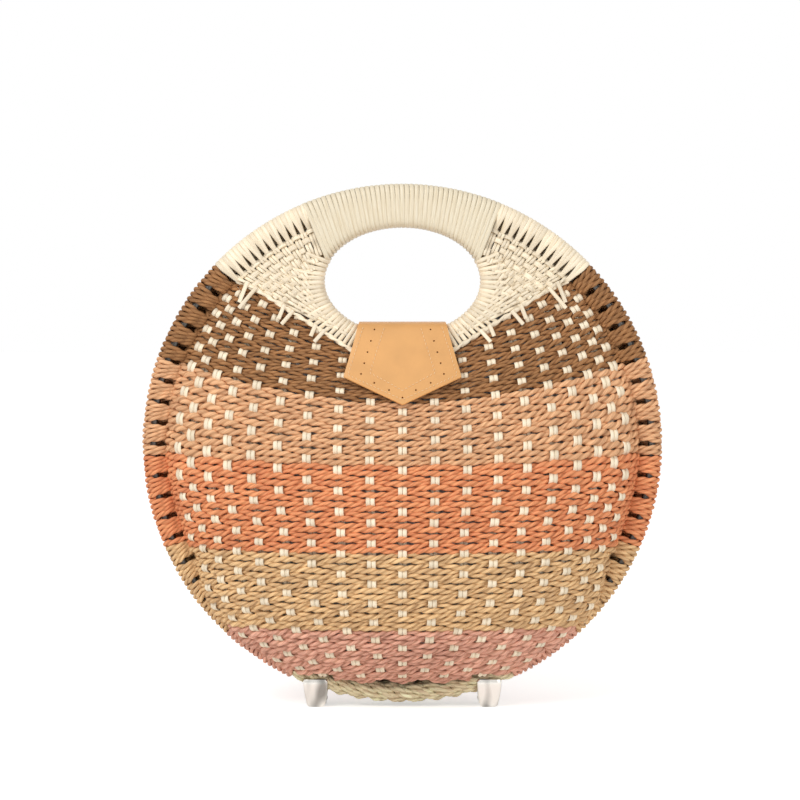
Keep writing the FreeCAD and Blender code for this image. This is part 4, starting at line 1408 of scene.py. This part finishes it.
class CIRCLEBAG_OT_clips(bpy.types.Operator):
    """Shape the hinge clips that the bag stands on, and their pins"""
    bl_idname = "circle_bag.clips"
    bl_label = "Hinge clips"
    bl_options = {"REGISTER", "UNDO"}

    def execute(self, context):
        for side, knuckles in (("front", FRONT_KNUCKLES), ("back", BACK_KNUCKLES)):
            build = bmesh.new()
            for middle in (CLIP_OFFSET, -CLIP_OFFSET):
                clip_foot(build, middle)
                for first, last in knuckles:
                    clip_knuckle(build, middle, first, last)
            if side == "back":
                bmesh.ops.scale(build, vec=(1, -1, 1), verts=build.verts)
            metal_piece(side + "_clips", build, side + "_shell", "hinge_leaves_" + side)
        build = bmesh.new()
        for middle in (CLIP_OFFSET, -CLIP_OFFSET):
            clip_pin(build, middle)
        metal_piece("clip_pins", build, "back_shell", "hinge_pins")
        return {"FINISHED"}


class CIRCLEBAG_OT_metal(bpy.types.Operator):
    """Finish the snap, and the hoops inside the bindings"""
    bl_idname = "circle_bag.metal"
    bl_label = "Metal and hoops"
    bl_options = {"REGISTER", "UNDO"}

    def execute(self, context):
        finishes = {
            "snap_stud": satin_nickel(), "snap_socket": satin_nickel(),
            "front_rim_hoop": drawn_wire(), "back_rim_hoop": drawn_wire(),
            "front_hand_hoop": peeled_cane(), "back_hand_hoop": peeled_cane(),
        }
        for node, finish in finishes.items():
            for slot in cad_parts[node].material_slots:
                slot.material = finish
        return {"FINISHED"}


# Finishes

WHITE = (1.0, 1.0, 1.0, 1.0)
CREASE_PAINTED_SHADE = (0.7, 0.66, 0.62, 1.0)     # painted shade in a crease: what it leaves of the paper's colour
PLY_HOLLOW_PAINTED_SHADE = (0.58, 0.5, 0.44, 1.0)     # painted shade in the hollow between two plies: what it leaves of the paper's colour
FIBRE_SHADE = (0.86, 0.8, 0.7, 1.0)       # what a fibre leaves of the reed's colour
LOTS_APART = 97.0                         # keeps the patterns of two strands far from each other


def new_finish(name):
    """A material with its shader, ready for nodes."""
    material = bpy.data.materials.new(name)
    material.use_nodes = True
    return material, material.node_tree, material.node_tree.nodes["Principled BSDF"]


def shade(colour, amount):
    """A colour made lighter or darker, with its opacity."""
    return (*(min(1.0, channel * amount) for channel in colour), 1.0)


def shades(colour, darker, lighter, first=0.0, last=1.0):
    """Ramp stops from a darker to a lighter shade of a colour."""
    return (first, shade(colour, darker)), (last, shade(colour, lighter))


def strand_coordinates(tree, along_per_metre, around_scale):
    """Coordinates that run along and round a strand and differ from strand to strand."""
    scales = {"along": along_per_metre, "around": around_scale, "lot": LOTS_APART}
    parts = {}
    for axis, (name, scale) in enumerate(scales.items()):
        stored = add(tree, "ShaderNodeAttribute", attribute_name=name, out="Fac")
        parts[axis] = add(tree, "ShaderNodeMath", {0: stored, 1: scale}, operation="MULTIPLY")
    return add(tree, "ShaderNodeCombineXYZ", parts)


def paper_rope(colour):
    """Twisted paper rope: matt dyed kraft paper, creased along each ply, with painted shade in the creases
    and between the plies.
    """
    base = getattr(colours(), colour)
    material, tree, shader = new_finish("paper_rope_" + colour)
    # A crease every half millimetre round the ply, drawn out over 7 mm along it, bumped and painted darker as
    # shade
    crease_place = strand_coordinates(tree, 1 / (7 * MM), 3.0)
    creases = add(tree, "ShaderNodeTexNoise",
                  {"Vector": crease_place, "Scale": 1.0, "Detail": 2.0}, out="Fac")
    # The dye takes unevenly over some 30 mm of rope
    dye_place = strand_coordinates(tree, 1 / (30 * MM), 0.3)
    dye = add(tree, "ShaderNodeTexNoise", {"Vector": dye_place, "Scale": 1.0, "Detail": 1.0}, out="Fac")
    crown = add(tree, "ShaderNodeAttribute", attribute_name="crown", out="Fac")
    paper = add(tree, "ShaderNodeValToRGB", {"Fac": dye}, stops=shades(base, 0.8, 1.22, 0.3, 0.7))
    # Painted shade: the paper is darker along the creases
    painted_streaks = add(tree, "ShaderNodeValToRGB", {"Fac": creases}, stops=((0.32, CREASE_PAINTED_SHADE), (0.62, WHITE)))
    # Painted shade: the paper is darker in the hollows between the plies
    painted_hollow_shade = add(tree, "ShaderNodeValToRGB", {"Fac": crown}, stops=((0.0, PLY_HOLLOW_PAINTED_SHADE), (0.4, WHITE)))
    for darker in (painted_streaks, painted_hollow_shade):
        paper = add(tree, "ShaderNodeMix", {0: 1.0, 6: paper, 7: darker}, out=2,
                    data_type="RGBA", blend_type="MULTIPLY")
    bump = add(tree, "ShaderNodeBump", {"Height": creases, "Strength": 0.5, "Distance": 0.25 * MM})
    feed(tree, shader, {"Base Color": paper, "Normal": bump, "Roughness": 0.72, "Specular IOR Level": 0.3})
    return material


def split_reed(colour):
    """Split reed: pale smooth skin with a satin gloss, fine fibres along it and some greyer lengths."""
    base = getattr(colours(), colour)
    material, tree, shader = new_finish("split_" + colour)
    # Fibres a quarter of a millimetre wide, and blotches some 12 mm long
    fibre_place = strand_coordinates(tree, 1 / (12 * MM), 9.0)
    fibres = add(tree, "ShaderNodeTexNoise", {"Vector": fibre_place, "Scale": 1.0, "Detail": 2.0}, out="Fac")
    lot = add(tree, "ShaderNodeAttribute", attribute_name="lot", out="Fac")
    length = add(tree, "ShaderNodeValToRGB", {"Fac": lot}, stops=shades(base, 0.86, 1.06))
    grain = add(tree, "ShaderNodeValToRGB", {"Fac": fibres}, stops=((0.3, FIBRE_SHADE), (0.6, WHITE)))
    reed_skin = add(tree, "ShaderNodeMix", {0: 1.0, 6: length, 7: grain}, out=2,
                    data_type="RGBA", blend_type="MULTIPLY")
    bump = add(tree, "ShaderNodeBump", {"Height": fibres, "Strength": 0.35, "Distance": 0.12 * MM})
    feed(tree, shader,
         {"Base Color": reed_skin, "Normal": bump, "Roughness": 0.48, "Specular IOR Level": 0.4})
    return material


def smooth_leather():
    """Vegetable tanned leather, finished smooth: a fine pebble, slow colour drift and a soft gloss."""
    base = colours().leather
    material, tree, shader = new_finish("smooth_leather")
    place = add(tree, "ShaderNodeTexCoord", out="Object")
    # Pebbles 0.7 mm across, and patches of colour some 15 mm wide
    pebble = add(tree, "ShaderNodeTexVoronoi", {"Vector": place, "Scale": 1 / (0.7 * MM)}, out="Distance")
    drift = add(tree, "ShaderNodeTexNoise",
                {"Vector": place, "Scale": 1 / (15 * MM), "Detail": 3.0}, out="Fac")
    tan = add(tree, "ShaderNodeValToRGB", {"Fac": drift}, stops=shades(base, 0.93, 1.05, 0.3, 0.7))
    gloss = add(tree, "ShaderNodeMapRange", {"Value": drift, "To Min": 0.42, "To Max": 0.55})
    bump = add(tree, "ShaderNodeBump", {"Height": pebble, "Strength": 0.12, "Distance": 0.15 * MM})
    feed(tree, shader, {"Base Color": tan, "Roughness": gloss, "Normal": bump})
    return material


def cut_leather_edge():
    """The raw cut edge of leather: paler, matt and fibrous."""
    base = colours().leather
    material, tree, shader = new_finish("cut_leather_edge")
    place = add(tree, "ShaderNodeTexCoord", out="Object")
    # Fibres a third of a millimetre thick
    fibre = add(tree, "ShaderNodeTexNoise",
                {"Vector": place, "Scale": 1 / (0.35 * MM), "Detail": 2.0}, out="Fac")
    raw = add(tree, "ShaderNodeValToRGB", {"Fac": fibre}, stops=shades(base, 1.05, 1.45))
    bump = add(tree, "ShaderNodeBump", {"Height": fibre, "Strength": 0.4, "Distance": 0.1 * MM})
    feed(tree, shader, {"Base Color": raw, "Normal": bump, "Roughness": 0.8})
    return material


def waxed_thread():
    """Waxed polyester thread: twisted, a little shiny."""
    base = colours().thread
    material, tree, shader = new_finish("waxed_thread")
    place = add(tree, "ShaderNodeTexCoord", out="Object")
    # The twist of the thread, 0.4 mm from ply to ply
    twist = add(tree, "ShaderNodeTexNoise", {"Vector": place, "Scale": 1 / (0.4 * MM)}, out="Fac")
    plies = add(tree, "ShaderNodeValToRGB", {"Fac": twist}, stops=shades(base, 0.85, 1.12))
    feed(tree, shader, {"Base Color": plies, "Roughness": 0.5})
    return material


def cotton_lining():
    """Plain woven cotton in pale grey: threads that cross over and under, with no gloss."""
    base = colours().lining
    material, tree, shader = new_finish("cotton_lining")
    place = add(tree, "ShaderNodeTexCoord", out="Object")
    # Threads half a millimetre apart, drawn twice as coarse so that they show
    spacing = {"Vector": place, "Scale": 1 / (1.0 * MM) / math.tau}
    warp = add(tree, "ShaderNodeTexWave", spacing, out="Fac", bands_direction="X")
    weft = add(tree, "ShaderNodeTexWave", spacing, out="Fac", bands_direction="Z")
    weave = add(tree, "ShaderNodeMath", {0: warp, 1: weft}, operation="MULTIPLY")
    cloth = add(tree, "ShaderNodeValToRGB", {"Fac": weave}, stops=shades(base, 0.85, 1.05))
    bump = add(tree, "ShaderNodeBump", {"Height": weave, "Strength": 0.3, "Distance": 0.15 * MM})
    feed(tree, shader, {"Base Color": cloth, "Normal": bump, "Roughness": 0.9})
    return material


def plated_metal(name, code, low, high, smear):
    """A plated metal whose gloss is smeared over patches of this many millimetres."""
    base = linear(code)
    material, tree, shader = new_finish(name)
    place = add(tree, "ShaderNodeTexCoord", out="Object")
    patches = add(tree, "ShaderNodeTexNoise",
                  {"Vector": place, "Scale": 1 / (smear * MM), "Detail": 3.0}, out="Fac")
    gloss = add(tree, "ShaderNodeMapRange", {"Value": patches, "To Min": low, "To Max": high})
    tint = add(tree, "ShaderNodeValToRGB", {"Fac": patches}, stops=shades(base, 0.9, 1.0))
    feed(tree, shader, {"Base Color": tint, "Roughness": gloss, "Metallic": 1.0})
    return material


def bright_nickel():
    """Nickel plated sheet steel: bright, slightly warm, with painted reflections as darker and lighter
    streaks running downwards.
    """
    painted_reflection_dark, painted_reflection_bright = linear("#8E8A84"), linear("#DEDAD3")
    material, tree, shader = new_finish("bright_nickel")
    place = add(tree, "ShaderNodeTexCoord", out="Object")
    # Painted reflections as streaks some 8 mm wide and 40 mm long
    reflection_streak_scale = (1 / (8 * MM), 1 / (8 * MM), 1 / (40 * MM))
    drawn = add(tree, "ShaderNodeMapping", {"Vector": place, "Scale": reflection_streak_scale})
    painted_streaks = add(tree, "ShaderNodeTexNoise", {"Vector": drawn, "Scale": 1.0, "Detail": 0.5}, out="Fac")
    # Painted reflections: dark and bright bands in the metal's colour
    tint = add(tree, "ShaderNodeValToRGB", {"Fac": painted_streaks},
               stops=((0.38, shade(painted_reflection_dark, 1.0)), (0.55, shade(painted_reflection_bright, 1.0))))
    gloss = add(tree, "ShaderNodeMapRange", {"Value": painted_streaks, "To Min": 0.3, "To Max": 0.1})
    feed(tree, shader, {"Base Color": tint, "Roughness": gloss, "Metallic": 1.0})
    return material


def satin_nickel():
    """Satin nickel on a pressed snap: even and soft."""
    return plated_metal("satin_nickel", "#C6C2BA", 0.3, 0.42, 3.0)


def drawn_wire():
    """Drawn steel wire: grey with a dull shine."""
    return plated_metal("drawn_wire", "#6A6763", 0.4, 0.55, 4.0)


def peeled_cane():
    """Peeled cane: straw coloured wood with fibres along it."""
    base = linear("#CBA872")
    material, tree, shader = new_finish("peeled_cane")
    place = add(tree, "ShaderNodeTexCoord", out="Object")
    # Fibres half a millimetre wide
    fibres = add(tree, "ShaderNodeTexNoise",
                 {"Vector": place, "Scale": 1 / (0.5 * MM), "Detail": 2.0}, out="Fac")
    straw = add(tree, "ShaderNodeValToRGB", {"Fac": fibres}, stops=shades(base, 0.8, 1.1))
    feed(tree, shader, {"Base Color": straw, "Roughness": 0.55})
    return material


# The stage, in metres

CAMERA_PLACE = (-0.0014, -1.5, 0.256)
CAMERA_PITCH = math.radians(3.0)
CAMERA_PIXELS = 2595.0       # focal length in pixels of an image 800 wide
IMAGE_SIZE = 800
SENSOR = 36.0
FLOOR_REACH = 6.0
FLOOR_GLOW = 0.47            # what the paper adds to its own light where it is seen
WORLD_LIGHT = 0.55
# Name, place, width and power of each soft box
LIGHTS = (("key", (-0.9, -1.1, 1.3), 0.9, 16), ("fill", (1.2, -1.2, 0.7), 1.2, 7))


def seen_or_lit(tree, lit, seen):
    """One strength for the light that a surface gives, and another for how bright it is seen to be."""
    path = add(tree, "ShaderNodeLightPath").node.outputs
    shown = path["Is Camera Ray"]
    for ray in ("Is Glossy Ray", "Is Transmission Ray"):
        shown = add(tree, "ShaderNodeMath", {0: shown, 1: path[ray]}, operation="MAXIMUM")
    return add(tree, "ShaderNodeMapRange", {"Value": shown, "To Min": lit, "To Max": seen})


def studio_floor():
    """Seamless pale paper: white to the eye, with the shadow of the bag on it."""
    material, tree, shader = new_finish("studio_paper")
    grain = add(tree, "ShaderNodeTexNoise", {"Scale": 1 / (4 * MM), "Detail": 1.0}, out="Fac")
    paper = add(tree, "ShaderNodeValToRGB", {"Fac": grain}, stops=shades(WHITE[:3], 0.93, 0.96))
    glow = seen_or_lit(tree, 0.0, FLOOR_GLOW)
    feed(tree, shader,
         {"Base Color": paper, "Roughness": 0.9, "Emission Color": WHITE, "Emission Strength": glow})
    return material


def make_floor():
    """A wide sheet of paper under the bag."""
    mesh = bpy.data.meshes.new("floor")
    corners = [(x * FLOOR_REACH, y * FLOOR_REACH, 0) for x, y in ((-1, -1), (1, -1), (1, 1), (-1, 1))]
    mesh.from_pydata(corners, [], [(0, 1, 2, 3)])
    mesh.materials.append(studio_floor())
    add_object("floor", mesh)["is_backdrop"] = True


def make_world():
    """A plain white surround; what the camera, metal and glass see of it is paper white."""
    world = bpy.data.worlds.new("studio")
    bpy.context.scene.world = world
    world.use_nodes = True
    tree = world.node_tree
    feed(tree, tree.nodes["Background"], {"Color": WHITE, "Strength": seen_or_lit(tree, WORLD_LIGHT, 1.0)})


def make_light(name, place, width, power):
    """A soft box that faces the middle of the bag."""
    data = bpy.data.lights.new(name, "AREA")
    data.shape = "SQUARE"
    data.size = width
    data.energy = power
    light = add_object(name, data)
    light.location = place
    middle = Vector((0, 0, CENTRE_HEIGHT * MM))
    light.rotation_euler = (middle - Vector(place)).to_track_quat("-Z", "Y").to_euler()


def make_camera():
    """The camera at the photograph's view."""
    data = bpy.data.cameras.new("camera")
    data.sensor_width = SENSOR
    data.lens = CAMERA_PIXELS * SENSOR / IMAGE_SIZE
    camera = add_object("camera", data)
    camera.location = CAMERA_PLACE
    camera.rotation_euler = (math.pi / 2 - CAMERA_PITCH, 0, 0)
    bpy.context.scene.camera = camera


class CIRCLEBAG_OT_stage(bpy.types.Operator):
    """Set the floor, the light and the camera"""
    bl_idname = "circle_bag.stage"
    bl_label = "Stage"
    bl_options = {"REGISTER", "UNDO"}

    def execute(self, context):
        make_floor()
        make_world()
        for light in LIGHTS:
            make_light(*light)
        make_camera()
        context.scene.view_settings.view_transform = "Standard"
        return {"FINISHED"}


# The add-on: a panel that lists the sizes, the colours and an operator for each group of pieces

OPERATORS = (
    CIRCLEBAG_OT_ropes, CIRCLEBAG_OT_warps, CIRCLEBAG_OT_shoulders, CIRCLEBAG_OT_binding,
    CIRCLEBAG_OT_handle, CIRCLEBAG_OT_lining, CIRCLEBAG_OT_tab, CIRCLEBAG_OT_strap,
    CIRCLEBAG_OT_clips, CIRCLEBAG_OT_metal, CIRCLEBAG_OT_stage,
)


class CIRCLEBAG_PT_pieces(bpy.types.Panel):
    """Lists the sizes, the colours and the pieces of the bag"""
    bl_idname = "CIRCLEBAG_PT_pieces"
    bl_label = "Circle bag"
    bl_space_type = "VIEW_3D"
    bl_region_type = "UI"
    bl_category = "Circle bag"

    def draw(self, context):
        for group in (context.scene.circle_bag_sizes, context.scene.circle_bag_colours):
            column = self.layout.column()
            for name in group.__annotations__:
                column.prop(group, name)
        for piece in OPERATORS:
            self.layout.operator(piece.bl_idname)


CLASSES = (CircleBagSizes, CircleBagColours, *OPERATORS, CIRCLEBAG_PT_pieces)


def register():
    """Makes the add-on's classes and its properties known to Blender."""
    for each in CLASSES:
        bpy.utils.register_class(each)
    bpy.types.Scene.circle_bag_sizes = bpy.props.PointerProperty(type=CircleBagSizes)
    bpy.types.Scene.circle_bag_colours = bpy.props.PointerProperty(type=CircleBagColours)


def unregister():
    """Takes them away again."""
    del bpy.types.Scene.circle_bag_colours
    del bpy.types.Scene.circle_bag_sizes
    for each in reversed(CLASSES):
        bpy.utils.unregister_class(each)


def main():
    """Makes the whole bag and its stage."""
    register()
    bpy.ops.circle_bag.ropes()
    bpy.ops.circle_bag.warps()
    bpy.ops.circle_bag.shoulders()
    bpy.ops.circle_bag.binding()
    bpy.ops.circle_bag.handle()
    bpy.ops.circle_bag.lining()
    bpy.ops.circle_bag.tab()
    bpy.ops.circle_bag.strap()
    bpy.ops.circle_bag.clips()
    bpy.ops.circle_bag.metal()
    bpy.ops.circle_bag.stage()
    boxes = {"cad": CAD_BOX, "visual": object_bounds()}
    {name: [list(corner) for corner in box] for name, box in boxes.items()}


if __name__ == "__main__":
    main()
